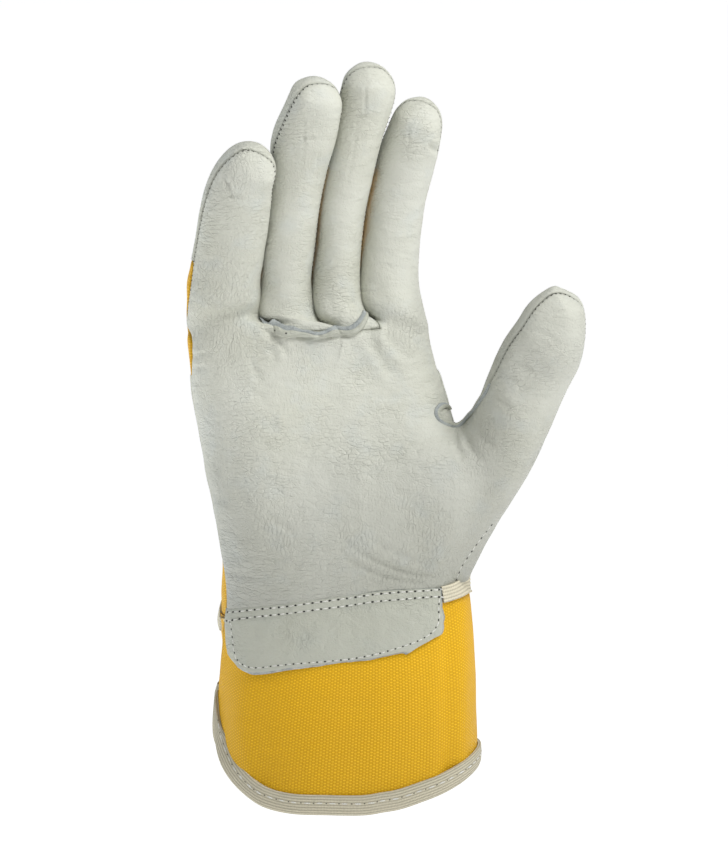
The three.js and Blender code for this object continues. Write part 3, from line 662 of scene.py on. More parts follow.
# Pressed-in folds of the hide on the palm side: ends, bow to the left, half width and depth
FOLDS = rows(
    "x0 z0 x1 z1 bow width depth",
    (-54.5, 88.6, -45.2, 90.6, 0.8, 1.1, 0.5),
    (-53.5, 84.5, -47.5, 85.6, 0.5, 0.9, 0.25),
    (-28.9, 99.9, -19.0, 91.0, 0.9, 1.2, 0.9),
    (-27.0, 97.0, -24.5, 87.5, 1.2, 1.2, 0.35),
    (-23.0, 96.8, -14.5, 92.5, 0.6, 1.1, 0.35),
    (8.4, 101.5, 19.5, 81.8, -1.4, 2.2, 0.7),
    (10.5, 104.5, 24.0, 88.0, -1.2, 1.8, 0.45),
    (-33.0, 90.5, -26.5, 83.5, -1.6, 1.3, 0.35),
    (-31.5, 86.5, -25.5, 79.5, -1.4, 1.3, 0.3),
    (-33.5, 80.5, -27.5, 76.0, -0.8, 1.1, 0.22),
    (0.1, 26.9, 33.2, 13.2, -1.8, 1.1, 0.5),
    (-2.0, 22.9, 28.5, 11.4, -1.6, 1.0, 0.38),
    (8.0, 29.0, 34.2, 18.0, -1.4, 1.1, 0.32),
    (-40.5, 22.0, -8.0, 17.4, 1.0, 1.0, 0.3),
    (-36.0, 26.5, -12.0, 23.5, 0.8, 1.0, 0.26),
    (-41.5, 14.5, -24.0, 12.0, 0.8, 1.0, 0.3),
    (-30.0, 38.5, -16.5, 30.0, -0.8, 1.1, 0.28),
    (-36.5, 46.0, -26.0, 31.5, -1.4, 1.2, 0.26),
    (-28.3, 100.5, -19.3, 96.7, -0.4, 0.75, 0.6),
    (-20.2, 96.7, -7.6, 96.4, 0.5, 0.75, 0.6),
    (-9.6, 96.4, 3.8, 97.8, 0.2, 0.75, 0.6),
    (-15.4, 166.8, -7.6, 166.7, 0.2, 0.5, 0.38),
    (-13.6, 174.0, -14.4, 158.0, 0.2, 0.5, 0.22),
    (-9.0, 163.0, -10.4, 146.0, 0.3, 0.5, 0.2),
    (7.0, 184.9, 7.0, 173.6, 0.2, 0.5, 0.3),
    (3.4, 173.9, 11.6, 173.8, 0.2, 0.5, 0.36),
    (4.0, 170.0, 0.6, 150.0, 0.4, 0.6, 0.2),
    (20.7, 160.6, 28.0, 160.6, 0.2, 0.5, 0.36),
    (22.0, 171.0, 21.9, 161.9, 0.2, 0.5, 0.26),
    (28.6, 163.4, 34.0, 160.4, 0.4, 1.3, 0.8),
    (-41.6, 154.8, -38.3, 146.3, 0.4, 0.6, 0.38),
    (-42.2, 147.4, -33.8, 147.0, 0.3, 0.6, 0.42),
    (-42.5, 144.2, -36.8, 143.6, 0.3, 0.6, 0.3),
    (41.5, 64.5, 47.5, 55.5, -1.0, 1.1, 0.5),
    (45.5, 66.5, 53.0, 60.0, -1.0, 1.1, 0.4),
    (38.5, 63.0, 41.5, 54.0, -0.8, 1.1, 0.4),
    (50.5, 77.5, 57.5, 73.5, 0.6, 1.0, 0.4),
    (54.5, 84.5, 61.5, 80.8, 0.8, 1.0, 0.34),
    (57.0, 89.5, 66.0, 85.5, 0.9, 0.9, 0.3),
    (60.0, 72.5, 71.0, 68.0, 0.9, 1.0, 0.3),
    (65.0, 101.0, 74.0, 95.5, 1.2, 0.9, 0.26),
)
FOLD_STEPS = 12
# The raised shoulder beside a fold, in fold widths from its middle
FOLD_SHOULDER = {"height": 0.45, "away": 1.9, "width": 0.8}
# A cut edge is rolled in at its seam, and its relief fades within a short way of it
SEAM_ROLL = {"width": 1.7, "depth": 0.95}
SEAM_CALM = 1.2
# Soft lumps all over the hide, and the crepe of fine wrinkles along and across it
LUMP_COLUMNS = "size height shift"
HIDE_LUMPS = rows(LUMP_COLUMNS, (15, 0.34, 15), (6.5, 0.13, 6.5))
CREPE = {
    "size": 4.2, "stretch": (1.0, 1.0, 0.45), "cross_size": 3.36, "cross_stretch": (0.5, 0.5, 1.0),
    "patch": 22, "sharp": 0.16, "depth": 0.07,
}
# Neighbouring fingers press together just above their roots, and the seams between them lie flatter there
WEB = {"low": 98, "above": 4.5, "reach": 5.5, "squat": 0.6, "height": 1.3}
PRESSED = {"above": 96, "left": -36, "right": 12, "sideways": 0.7, "roll": 0.1}
BASE_ROLL = {"left": -29, "right": 9, "height": 99.5, "reach": 3.5, "roll": 0.3}


def noise_at(places, size, stretch=(1, 1, 1)):
    scaled = places * (np.array(stretch) / size)
    return np.array([noise.noise(Vector(place)) for place in scaled])


def palm_side(normals, sharp=2):
    """From 0 where the surface turns away from the palm side to 1 where it faces it."""
    return np.clip(-normals[:, 1] * sharp, 0, 1)


def hump(distance):
    """A smooth hump, 1 at its middle."""
    return np.exp(-distance ** 2)


def fold_relief(places, normals):
    """A groove along each fold, shallower toward its ends, with a raised shoulder on both sides."""
    relief = np.zeros(len(places))
    front = palm_side(normals, 3)
    for fold in FOLDS:
        start, end = np.array([fold["x0"], fold["z0"]]), np.array([fold["x1"], fold["z1"]])
        side = np.array([start[1] - end[1], end[0] - start[0]]) / np.linalg.norm(end - start)
        share = np.linspace(0, 1, FOLD_STEPS)[:, None]
        line = mix(start, end, share) + side * fold["bow"] * 4 * share * (1 - share)
        flat = places[:, [0, 2]]
        margin = 3 * fold["width"]
        near = np.all((flat > line.min(axis=0) - margin) & (flat < line.max(axis=0) + margin), axis=1)
        near = np.flatnonzero(near & (front > 0))
        first, along = line[:-1], np.diff(line, axis=0)
        offset = flat[near, None, :] - first
        part = np.clip((offset * along).sum(axis=2) / (along ** 2).sum(axis=1), 0, 1)
        apart = np.linalg.norm(offset - part[..., None] * along, axis=2)
        nearest = apart.argmin(axis=1)
        pick = np.arange(len(near)), nearest
        place = (nearest + part[pick]) / (FOLD_STEPS - 1)
        taper = np.sqrt(np.clip(np.sin(np.pi * place), 0, 1))
        far = apart[pick] / fold["width"]
        shoulder = hump((far - FOLD_SHOULDER["away"]) / FOLD_SHOULDER["width"])
        shape = -hump(far) + FOLD_SHOULDER["height"] * shoulder
        relief[near] += fold["depth"] * shape * taper * front[near]
    return relief


def broad_relief(places, normals):
    """The hide's puff over the wrist seam, and the cup of the palm above it."""
    above = places[:, 2] - value_at(WRIST_LINE, places[:, 0], "z")
    puff = value_at(PUFF_SHAPE, above, "height") * value_at(PUFF_ENDS, places[:, 0], "share")
    up = (places[:, 2] - CUP["low"]) / (CUP["high"] - CUP["low"])
    line = mix(CUP["low_x"], CUP["high_x"], np.clip(up, 0, 1))
    valley = hump((places[:, 0] - line) / CUP["width"])
    ends = np.clip(3 * up, 0, 1) * np.clip(5 * (1 - up), 0, 1)
    return (puff - CUP["depth"] * valley * ends) * palm_side(normals)


def crepe_relief(places):
    """Fine wrinkles pressed into the hide, stronger in patches."""
    along = np.abs(noise_at(places, CREPE["size"], CREPE["stretch"]))
    across = np.abs(noise_at(places + 90, CREPE["cross_size"], CREPE["cross_stretch"]))
    patches = np.clip(0.7 + 1.2 * noise_at(places - 40, CREPE["patch"]), 0.1, 1)
    along, across = (np.clip(1 - lines / CREPE["sharp"], 0, 1) for lines in (along, across))
    return -CREPE["depth"] * (along + 0.7 * across) * patches


def hide_roll(places, normals):
    """Seams lie flat where neighbouring fingers press together, and are rolled in elsewhere."""
    x, z = places[:, 0], places[:, 2]
    between = (z > PRESSED["above"]) & (x > PRESSED["left"]) & (x < PRESSED["right"])
    between &= np.abs(normals[:, 0]) > PRESSED["sideways"]
    base = (x > BASE_ROLL["left"]) & (x < BASE_ROLL["right"]) & (normals[:, 1] < -0.3)
    base &= np.abs(z - BASE_ROLL["height"]) < BASE_ROLL["reach"]
    return np.where(between, PRESSED["roll"], np.where(base, BASE_ROLL["roll"], 1.0))


def web_relief(places, normals):
    """The sides of neighbouring fingers swell toward each other above the roots."""
    relief = np.zeros(len(places))
    for corner_x, _, corner_z in ROOT_CORNERS[1:-1]:
        up = WEB["squat"] * (places[:, 2] - corner_z - WEB["above"])
        relief += WEB["height"] * hump(np.hypot(places[:, 0] - corner_x, up) / WEB["reach"])
    return relief * np.clip(2 * np.abs(normals[:, 0]) - 0.6, 0, 1) * (places[:, 2] > WEB["low"])


def lumps_at(places, lumps):
    """Soft unevenness, of noise in several sizes, each shifted so that they don't line up."""
    return sum(lump["height"] * noise_at(places + lump["shift"], lump["size"]) for lump in lumps)


def hide_relief(places, normals):
    relief = fold_relief(places, normals) + broad_relief(places, normals) + crepe_relief(places)
    return relief + web_relief(places, normals) + lumps_at(places, HIDE_LUMPS)


def new_piece(name, places, polygons, smooth_angle=40):
    mesh = bpy.data.meshes.new(name)
    mesh.from_pydata((np.asarray(places) / 1000).tolist(), [], polygons)
    mesh.update()
    mesh.shade_smooth()
    mesh.set_sharp_from_angle(angle=math.radians(smooth_angle))
    piece = bpy.data.objects.new(name, mesh)
    bpy.context.collection.objects.link(piece)
    return piece


def add_numbers(piece, name, values):
    attribute = piece.data.attributes.new(name, "FLOAT", "POINT")
    attribute.data.foreach_set("value", np.asarray(values, np.float32))


def finish_piece(piece, node, slot, *materials):
    for material in materials:
        piece.data.materials.append(material)
    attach(piece, "root")
    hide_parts(node)


def chain_distance(places, points):
    """How far each place is from the nearest of the points."""
    tree = KDTree(len(points))
    for number, point in enumerate(points):
        tree.insert(point, number)
    tree.balance()
    return np.array([tree.find(place)[2] for place in places])


THUMB_ROOT = {"x": 34, "z": 34, "width": 9, "height": 24, "order": 5, "least": 0.03}


def bridge_root(places, facing):
    """The hide bridges the hollow line between palm and thumb root in one smooth fitted curve."""
    across = (places[:, 0] - THUMB_ROOT["x"]) / THUMB_ROOT["width"]
    up = (places[:, 2] - THUMB_ROOT["z"]) / THUMB_ROOT["height"]
    weight = np.exp(-across ** 2 - up ** 2) * (facing[:, 1] < -0.2)
    near, order = weight > THUMB_ROOT["least"], THUMB_ROOT["order"]
    terms = np.stack([across ** i * up ** j for i in range(order) for j in range(order - i)], axis=1)[near]
    held = np.sqrt(weight[near])
    curve = np.linalg.lstsq(terms * held[:, None], places[near, 1] * held, rcond=None)[0]
    bridged = places.copy()
    bridged[near, 1] = mix(places[near, 1], terms @ curve, np.clip(1.25 * weight[near] - 0.04, 0, 1))
    return bridged


# Least wall that a dent leaves, and how far the inner face draws back from the rim, in walls
INNER_REST = 0.55
INNER_DRAW = 0.1


def rim_of(quads):
    """The two ends of every edge that only one face has."""
    _, ends, _, count = edges_of(quads)
    return ends[count == 1]


def inward_from(base, facing, rim):
    """The way from each point of the rim into the piece, along its surface."""
    along = base[rim[:, 1]] - base[rim[:, 0]]
    inward = np.zeros_like(base)
    for end in (0, 1):
        np.add.at(inward, rim[:, end], np.cross(facing[rim[:, end]], along))
    rim_ids = np.unique(rim)
    inward[rim_ids] /= np.linalg.norm(inward[rim_ids], axis=1)[:, None]
    return inward


def closing_faces(outer_rim, inner_rim, inner_number):
    """Faces over the cut edge, from the fine outer rim to the coarser inner one."""
    following = dict(outer_rim.tolist())
    polygons = []
    for a, b in inner_rim.tolist():
        walk = [a]
        while walk[-1] != b:
            walk.append(following[walk[-1]])
        polygons.append([inner_number[a], inner_number[b]] + walk[::-1])
    return polygons


def cut_piece(name, wall, relief_of, roll=1.0, lift=0.0, flat_cloth=None, over_zone=None):
    """A closed sheet cut from the form: its faces there, their outer relief, and a plain inner face."""
    kept = np.array([zone == over_zone if over_zone else piece == name for piece, zone, _ in tags])
    ids, local = np.unique(faces[kept[face_tags]], return_inverse=True)
    outer_quads = local.reshape(-1, 4)
    base, facing = form[ids], form_normals[ids]
    inner_quads = np.searchsorted(ids, inner_faces[kept[inner_tags]])
    rim = rim_of(outer_quads)
    inward = inward_from(base, facing, rim)
    lift, roll = (part(base, facing) if callable(part) else part for part in (lift, roll))
    seam = chain_distance(base, base[np.unique(rim)])
    rest = np.clip(1 - seam / SEAM_ROLL["width"], 0, 1)
    rolled = SEAM_ROLL["depth"] * (1 - np.sqrt(1 - rest ** 2)) * roll
    relief = relief_of(base, facing) * np.clip(seam / SEAM_CALM, 0.25, 1) - rolled
    broad = broad_relief(base, facing) if relief_of is hide_relief else np.zeros(len(base))
    bulk = base + facing * (lift + broad)[:, None]
    if name == "palm_leather":
        bulk = bridge_root(bulk, facing)
    outer = bulk + facing * (relief - broad)[:, None] + inward * SEAM_GAP / 2

    inner_ids = np.unique(inner_quads)
    inner_number = np.full(len(base), -1)
    inner_number[inner_ids] = np.arange(len(inner_ids)) + len(base)
    inner_lift = lift[inner_ids] if np.ndim(lift) else lift
    low = np.minimum(inner_lift - wall, inner_lift + relief[inner_ids] - INNER_REST * wall)
    drawn = inward[inner_ids] * (SEAM_GAP / 2 + INNER_DRAW * wall)
    inner = base[inner_ids] + facing[inner_ids] * low[:, None] + drawn
    polygons = outer_quads.tolist() + inner_number[inner_quads[:, ::-1]].tolist()
    polygons += closing_faces(rim, rim_of(inner_quads), inner_number)
    piece = new_piece(name, np.concatenate([outer, inner]), polygons)
    blank = np.zeros(len(inner))
    add_numbers(piece, "seam", np.concatenate([seam, blank]))
    add_numbers(piece, "dip", np.concatenate([broad - relief, blank]))
    add_numbers(piece, "inside", np.concatenate([np.zeros(len(outer)), blank + 1]))
    if flat_cloth is not None:
        flat = np.concatenate([flat_cloth[ids], flat_cloth[ids][inner_ids]]) / 1000
        layer = piece.data.uv_layers.new(name="cloth")
        corners = np.zeros(len(piece.data.loops), np.int32)
        piece.data.loops.foreach_get("vertex_index", corners)
        layer.data.foreach_set("uv", flat[corners].ravel().astype(np.float32))
    return piece


def add_node(tree, kind, inputs=(), **settings):
    made = tree.nodes.new(kind)
    for key, value in settings.items():
        setattr(made, key, value)
    for key, value in dict(inputs).items():
        feed(tree, made.inputs[key], value)
    return made


def feed(tree, socket, value):
    if isinstance(value, bpy.types.NodeSocket):
        tree.links.new(value, socket)
    else:
        socket.default_value = value


class Finish:
    """A material's nodes, made one after the other."""

    def __init__(self, name):
        self.material = bpy.data.materials.new(name)
        self.material.use_nodes = True
        self.tree = self.material.node_tree
        self.shader = self.tree.nodes["Principled BSDF"]

    def add(self, kind, inputs=(), **settings):
        return add_node(self.tree, kind, inputs, **settings)

    def maths(self, operation, a, b=0.0, c=0.0):
        return self.add("ShaderNodeMath", {0: a, 1: b, 2: c}, operation=operation).outputs[0]

    def times(self, a, b):
        return self.maths("MULTIPLY", a, b)

    def most(self, a, b):
        return self.maths("MAXIMUM", a, b)

    def place(self, stretch=(1, 1, 1)):
        coordinates = self.add("ShaderNodeTexCoord").outputs["Object"]
        return self.add("ShaderNodeMapping", {"Vector": coordinates, "Scale": stretch}).outputs[0]

    def attribute(self, name):
        return self.add("ShaderNodeAttribute", attribute_name=name).outputs["Fac"]

    def noise(self, vector, size, detail=2.0, roughness=0.5):
        inputs = {"Vector": vector, "Scale": 1000 / size, "Detail": detail, "Roughness": roughness}
        return self.add("ShaderNodeTexNoise", inputs).outputs["Fac"]

    def cells(self, vector, scale):
        inputs = {"Vector": vector, "Scale": scale}
        return self.add("ShaderNodeTexVoronoi", inputs, feature="DISTANCE_TO_EDGE").outputs["Distance"]

    def wavered(self, vector, place, reach, scale):
        """The vector pushed about by a finer noise, so that no line on it runs quite true."""
        push = self.add("ShaderNodeTexNoise", {"Vector": place, "Scale": scale}).outputs["Color"]
        inputs = {0: push, 1: reach, 2: vector}
        return self.add("ShaderNodeVectorMath", inputs, operation="MULTIPLY_ADD").outputs[0]

    def axes(self, vector):
        return self.add("ShaderNodeSeparateXYZ", {0: vector}).outputs

    def cloth(self):
        return self.add("ShaderNodeUVMap", uv_map="cloth").outputs[0]

    def ramp(self, value, low, high, start=0.0, end=1.0):
        inputs = {"Value": value, "From Min": low, "From Max": high, "To Min": start, "To Max": end}
        return self.add("ShaderNodeMapRange", inputs).outputs[0]

    def blend(self, share, a, b, how="MIX"):
        made = self.add("ShaderNodeMix", data_type="RGBA", blend_type=how)
        for number, value in ((0, share), (6, a), (7, b)):
            feed(self.tree, made.inputs[number], value)
        return made.outputs[2]

    def bump(self, height, distance, strength=1.0, normal=None):
        inputs = {"Height": height, "Distance": distance / 1000, "Strength": strength}
        if normal:
            inputs["Normal"] = normal
        return self.add("ShaderNodeBump", inputs).outputs[0]

    def surface(self, colour, roughness, normal, gloss=None):
        for key, value in (("Base Color", colour), ("Roughness", roughness), ("Normal", normal)):
            feed(self.tree, self.shader.inputs[key], value)
        if gloss is not None:
            self.shader.inputs["Specular IOR Level"].default_value = gloss


HIDE_COLOUR = (0.575, 0.582, 0.515, 1)
HIDE_WARM = (0.54, 0.545, 0.465, 1)
HIDE_COOL = (0.545, 0.57, 0.53, 1)
HIDE_CREASE_SHADE = (0.30, 0.31, 0.25, 1)
HIDE_INSIDE = (0.40, 0.41, 0.38, 1)
OFFCUT_TONE = (1.1, 1.1, 1.1, 1)
HIDE_GLOSS = 0.4
PORE_WAVER, CREASE_WAVER, CELL_WAVER = (0.002,) * 3, (0.0012,) * 3, (0.0016,) * 3
CREASES_ACROSS, CELLS_ACROSS, CELLS_ALONG = (0.35, 0.35, 1), (0.4, 0.4, 1), (1, 1, 0.45)


def hide_finish(name, offcut=False):
    """Grain hide: pores about a millimetre apart, and fine creases that mostly run along the fingers."""
    hide = Finish(name)
    place = hide.place()
    x, _, z = hide.axes(place)
    # Where the hand has worked it most: in patches, at the little-finger edge and low on the palm
    where = hide.ramp(hide.noise(place, 17, 2), 0.4, 0.6, 0.3, 1)
    if not offcut:
        where = hide.most(where, hide.most(hide.ramp(x, -0.018, -0.034), hide.ramp(z, 0.045, 0.02, 0, 0.8)))

    # Creases, from wide to fine, and those across the fingers
    along = (1, 1, 0.8 if offcut else 0.28)
    creases = ((along, 3.0, 0.035, 1), (along, 1.5, 0.05, 0.6), (CREASES_ACROSS, 2.4, 0.035, 0.7))
    lines = 0.0
    for stretch, size, sharp, share in creases:
        bent = hide.wavered(hide.place(stretch), place, CREASE_WAVER, 420)
        apart = hide.maths("ABSOLUTE", hide.maths("SUBTRACT", hide.noise(bent, size, 1), 0.5))
        lines = hide.most(lines, hide.times(hide.ramp(apart, 0, sharp, 1, 0), share))
    lines = hide.times(lines, where)

    # Colour: warm and cool stains, and painted shade in folds, creases, pores and along the seams
    grain = hide.noise(place, 0.8, 3, 0.6)
    stained = hide.blend(hide.ramp(hide.noise(place, 34, 3), 0.35, 0.7), HIDE_COLOUR, HIDE_WARM)
    cooled = hide.blend(hide.ramp(hide.noise(place, 9, 3), 0.52, 0.8, 0, 0.7), stained, HIDE_COOL)
    folded = hide.times(hide.ramp(hide.attribute("dip"), 0.15, 1.1), 0.35)
    lined = hide.maths("MULTIPLY_ADD", lines, 0.05, folded)
    dark = hide.maths("ADD", lined, hide.ramp(grain, 0.3, 0.42, 0.1, 0))
    creased = hide.blend(dark, cooled, HIDE_CREASE_SHADE)
    # Painted shade in the rolled seam grooves, within about a millimetre of each seam
    wear_and_seam_shade = hide.blend(hide.ramp(hide.attribute("seam"), 0.1, 1.1, 0.55, 0), creased, HIDE_CREASE_SHADE)
    tone = OFFCUT_TONE
    if not offcut:
        # Painted shade on the thumb side of the palm and on the thumb, fading out above about 90 mm
        painted_shade = hide.times(hide.ramp(x, 0.01, 0.05, 0, 0.16), hide.ramp(z, 0.112, 0.09))
        # Painted light by height: darkest at the wrist, brightest from about 75 mm up the palm, and a little
        # darker again on the fingers
        painted_height_light = hide.times(hide.ramp(z, 0, 0.075, 0.74, 1.13), hide.ramp(z, 0.085, 0.105, 1, 0.92))
        tone = hide.times(painted_height_light, hide.maths("SUBTRACT", 1.0, painted_shade))
    colour = hide.blend(hide.attribute("inside"), hide.blend(1, wear_and_seam_shade, tone, "MULTIPLY"), HIDE_INSIDE)

    # Relief: pores, grain, soft swells, little pillows between wrinkles, and the creases
    pore = hide.ramp(hide.cells(hide.wavered(place, place, PORE_WAVER, 260), 950), 0, 0.22)
    flat, tall = (
        hide.ramp(hide.cells(hide.wavered(hide.place(stretch), place, CELL_WAVER, 190), 760), 0, 0.13)
        for stretch in (CELLS_ACROSS, CELLS_ALONG)
    )
    turned = hide.ramp(hide.noise(hide.place((1, 1, 0.6)), 26, 1), 0.47, 0.62)
    pillows = hide.times(hide.maths("MULTIPLY_ADD", turned, hide.maths("SUBTRACT", tall, flat), flat), where)
    ripples = hide.add(
        "ShaderNodeTexNoise",
        {"Vector": hide.place((1, 1, 1) if offcut else (0.6, 0.6, 1.4)), "Scale": 200, "Distortion": 0.4}
    )
    relief = hide.bump(grain, 0.15, 0.45, hide.bump(pore, 0.1, 0.5))
    relief = hide.bump(hide.ramp(ripples.outputs["Fac"], 0.3, 0.7), 0.32, 1.0, relief)
    relief = hide.bump(lines, -0.06, 1.0, hide.bump(pillows, 0.15, 1.0, relief))
    hide.surface(colour, hide.ramp(hide.noise(place, 6, 3), 0.3, 0.7, 0.48, 0.6), relief, HIDE_GLOSS)
    return hide.material


hide = hide_finish("grain_hide")
palm = cut_piece("palm_leather", HIDE_WALL, hide_relief, hide_roll)
finish_piece(palm, "palm_leather", "palm_hide", hide)


# Middle finger fronts: one cut of the same hide for the ring and middle fingers, sewn to the palm under
# the rolled strip at the finger roots and to the neighbours along the finger sides.
fronts = cut_piece("middle_fingers_front", HIDE_WALL, hide_relief, hide_roll)
finish_piece(fronts, "middle_fingers_front", "palm_hide", hide)


# Canvas back: yellow rubber-proofed duck over the back of the hand and the backs of three fingers, drawn
# into soft gathers above the wrist. A plain weave of thick warps crossed by thinner wefts.
CANVAS_WALL = 1.5
GATHERS = {"pitch": 11, "low": 4, "high": 34, "height": 1.2, "wander": 3, "wander_size": 30}
SLACK = {"size": 24, "height": 0.45, "stretch": (1, 1, 0.6)}
CANVAS_LUMPS = rows(LUMP_COLUMNS, (8, 0.16, 50))
WARP_PITCH = 1.08
WEFT_PITCH = 0.55
CANVAS_HIGH = (0.95, 0.585, 0.016, 1)
CANVAS_LOW = (0.66, 0.345, 0.002, 1)
CANVAS_WORN = (0.62, 0.33, 0.02, 1)
CANVAS_SEAM = (0.34, 0.17, 0.01, 1)
CANVAS_INSIDE = (0.72, 0.55, 0.25, 1)
CANVAS_GLOSS = 0.25


def wrist_height(x):
    row = HAND_ROWS[-1]
    return mix(row["left_z"], row["thumb_z"], (x - row["left"]) / (row["thumb"] - row["left"]))


def canvas_relief(places, normals):
    """Soft gathers above the wrist, and the slack of the cloth."""
    up = (places[:, 2] - wrist_height(places[:, 0]) - GATHERS["low"]) / (GATHERS["high"] - GATHERS["low"])
    wander = GATHERS["wander"] * noise_at(places, GATHERS["wander_size"])
    ridge = np.cos(2 * np.pi * (places[:, 0] + wander) / GATHERS["pitch"])
    gathers = GATHERS["height"] * ridge * np.sin(np.pi * np.clip(up, 0, 1))
    slack = SLACK["height"] * noise_at(places, SLACK["size"], SLACK["stretch"])
    return gathers + slack + lumps_at(places, CANVAS_LUMPS) + web_relief(places, normals)


def canvas_finish(name):
    """Plain weave: each crossing stands proud and is painted lit, with painted shade between them, along the
    seams and toward the hem.
    """
    canvas = Finish(name)
    flat, place = canvas.cloth(), canvas.place()
    x, y, _ = canvas.axes(canvas.wavered(flat, place, (0.0003, 0.0003, 0), 300))
    warp = canvas.maths("SINE", canvas.times(x, 1000 * math.pi / WARP_PITCH))
    weft = canvas.maths("SINE", canvas.times(y, 1000 * math.pi / WEFT_PITCH))
    weave = canvas.ramp(canvas.times(warp, weft), -1, 1)
    over = canvas.most(canvas.ramp(weave, 0.48, 0.85), canvas.ramp(weave, 0.4, 0.1, 0, 0.35))
    lit = canvas.times(over, canvas.ramp(canvas.noise(flat, 1.6, 2), 0.3, 0.7, 0.75, 1))
    yellow = canvas.blend(lit, CANVAS_LOW, CANVAS_HIGH)
    wear_and_seam_shade = canvas.blend(canvas.ramp(canvas.noise(place, 26, 3), 0.4, 0.75, 0, 0.16), yellow, CANVAS_WORN)
    shaded = canvas.blend(canvas.ramp(canvas.attribute("seam"), 0, 1.6, 0.35, 0), wear_and_seam_shade, CANVAS_SEAM)
    # Painted shade darkens the cloth toward the hem
    painted_shade = canvas.blend(1, shaded, canvas.ramp(canvas.axes(place)[2], -0.06, -0.015, 0.86, 1), "MULTIPLY")
    colour = canvas.blend(canvas.attribute("inside"), painted_shade, CANVAS_INSIDE)
    normal = canvas.bump(canvas.noise(place, 0.5, 2), 0.08, 0.3, canvas.bump(over, 0.16, 0.9))
    canvas.surface(colour, canvas.ramp(weave, 0, 1, 0.65, 0.5), normal, CANVAS_GLOSS)
    return canvas.material


yellow_canvas = canvas_finish("yellow_duck")
back = cut_piece("hand_back_canvas", CANVAS_WALL, canvas_relief, hide_roll, flat_cloth=cloth)
finish_piece(back, "hand_back_canvas", "yellow_canvas", yellow_canvas)


# Fingertip caps: short leather backs of the little, ring and middle finger, sewn over the end of the
# canvas and to the finger fronts round the tip.
BACKING_CREPE = 0.7


def backing_relief(places, normals):
    relief = BACKING_CREPE * crepe_relief(places) + web_relief(places, normals)
    return relief + lumps_at(places, HIDE_LUMPS)


backing_hide = hide_finish("backing_hide")
backings = []
for name in ("little", "ring", "middle"):
    node = "fingertip_cap_" + name
    cap = cut_piece(node, HIDE_WALL, backing_relief, hide_roll)
    finish_piece(cap, node, "palm_hide", backing_hide)
    backings.append(cap)


# Index back and thumb back: whole leather backs of the two fingers that work hardest, sewn to the palm
# hide along the finger sides and to the canvas across the knuckle.
for node in ("index_back_leather", "thumb_back_leather"):
    backing = cut_piece(node, HIDE_WALL, backing_relief)
    finish_piece(backing, node, "palm_hide", backing_hide)
    backings.append(backing)


# Knuckle strap: a strip of the backing hide, laid over the canvas across the knuckles, topstitched along
# both edges and caught in the side seams.
STRAP_WALL = 1.5
STRAP_LIFT = 2.0
STRAP_END_LIFT = 0.15
STRAP_TURN = 0.35
STRAP_ROLL = 0.35


def strap_lift(places, normals):
    """The strap's ends are caught in the side seams."""
    return mix(STRAP_END_LIFT, STRAP_LIFT, np.clip(normals[:, 1] * 1.7, 0, 1))


def strap_roll(places, normals):
    return np.where(normals[:, 1] < STRAP_TURN, 1.0, STRAP_ROLL)


strap = cut_piece("knuckle_strap", STRAP_WALL, backing_relief, strap_roll, strap_lift, over_zone="strap")
finish_piece(strap, "knuckle_strap", "palm_hide", backing_hide)


# Finger-base strip: a folded strip of hide caught in the seam below the ring and middle fingers. A pale
# roll faces the palm and its blue-grey raw edge shows along the top.
RAW_EDGE = (0.40, 0.43, 0.425, 1)
RAW_DARK = (0.24, 0.26, 0.255, 1)
RAW_PALE = (0.52, 0.55, 0.53, 1)


def raw_finish(name):
    """The fibrous cut edge of the hide, where the blue-grey core shows."""
    raw = Finish(name)
    place = raw.place()
    fibres = raw.noise(place, 0.55, 4, 0.7)
    colour = raw.blend(raw.ramp(fibres, 0.35, 0.68), RAW_DARK, RAW_EDGE)
    pale = raw.blend(raw.ramp(raw.noise(place, 4, 2), 0.45, 0.7, 0, 0.6), colour, RAW_PALE)
    raw.surface(pale, 0.85, raw.bump(fibres, 0.25, 0.8))
    return raw.material


raw_edge = raw_finish("raw_hide_edge")
BASE_STRIP_LOW = [
    (-28.8, 102.2), (-28.1, 101.0), (-26.7, 99.6), (-24.5, 98.7), (-22.1, 97.9), (-19.3, 97.4), (-16.6, 97.7),
    (-14.1, 98.0), (-11.4, 97.5), (-8.6, 97.1), (-5.8, 97.6), (-3.0, 98.3), (-0.2, 98.1), (2.5, 98.3),
    (5.0, 99.3), (6.7, 100.9), (7.8, 103.2), (8.4, 105.6),
]
BASE_STRIP_HIGH = [
    (-28.9, 103.8), (-27.9, 103.3), (-26.5, 102.5), (-24.0, 101.6), (-21.2, 101.1), (-18.4, 100.6),
    (-15.6, 99.9), (-12.8, 99.7), (-10.8, 99.2), (-8.7, 98.9), (-6.9, 99.5), (-5.5, 100.3), (-3.1, 100.6),
    (-0.3, 100.6), (2.5, 101.3), (4.6, 102.9), (6.0, 104.7), (7.0, 106.8),
]
BASE_STRIP_PROFILE = [
    (0.03, -1.0), (-0.02, 0.3), (-0.13, 0.85), (-0.07, 1.5), (0.12, 1.95), (0.4, 1.85), (0.5, 1.55),
    (0.56, 1.62), (0.85, 1.5), (1.04, 1.1), (1.1, -1.0),
]
BASE_STRIP_RAW = (6, 7, 8, 9)
BASE_STRIP_STEPS = 90
# The strip's wobble in height, coarse and fine, and its leaning to and fro
WOBBLE = rows(LUMP_COLUMNS, (2.6, 0.22, 0), (1.2, 0.12, 30))
LEANING = rows(LUMP_COLUMNS, (3.2, 0.16, 60))
FRONT_START = -150
FRONT_DEPTH = -20


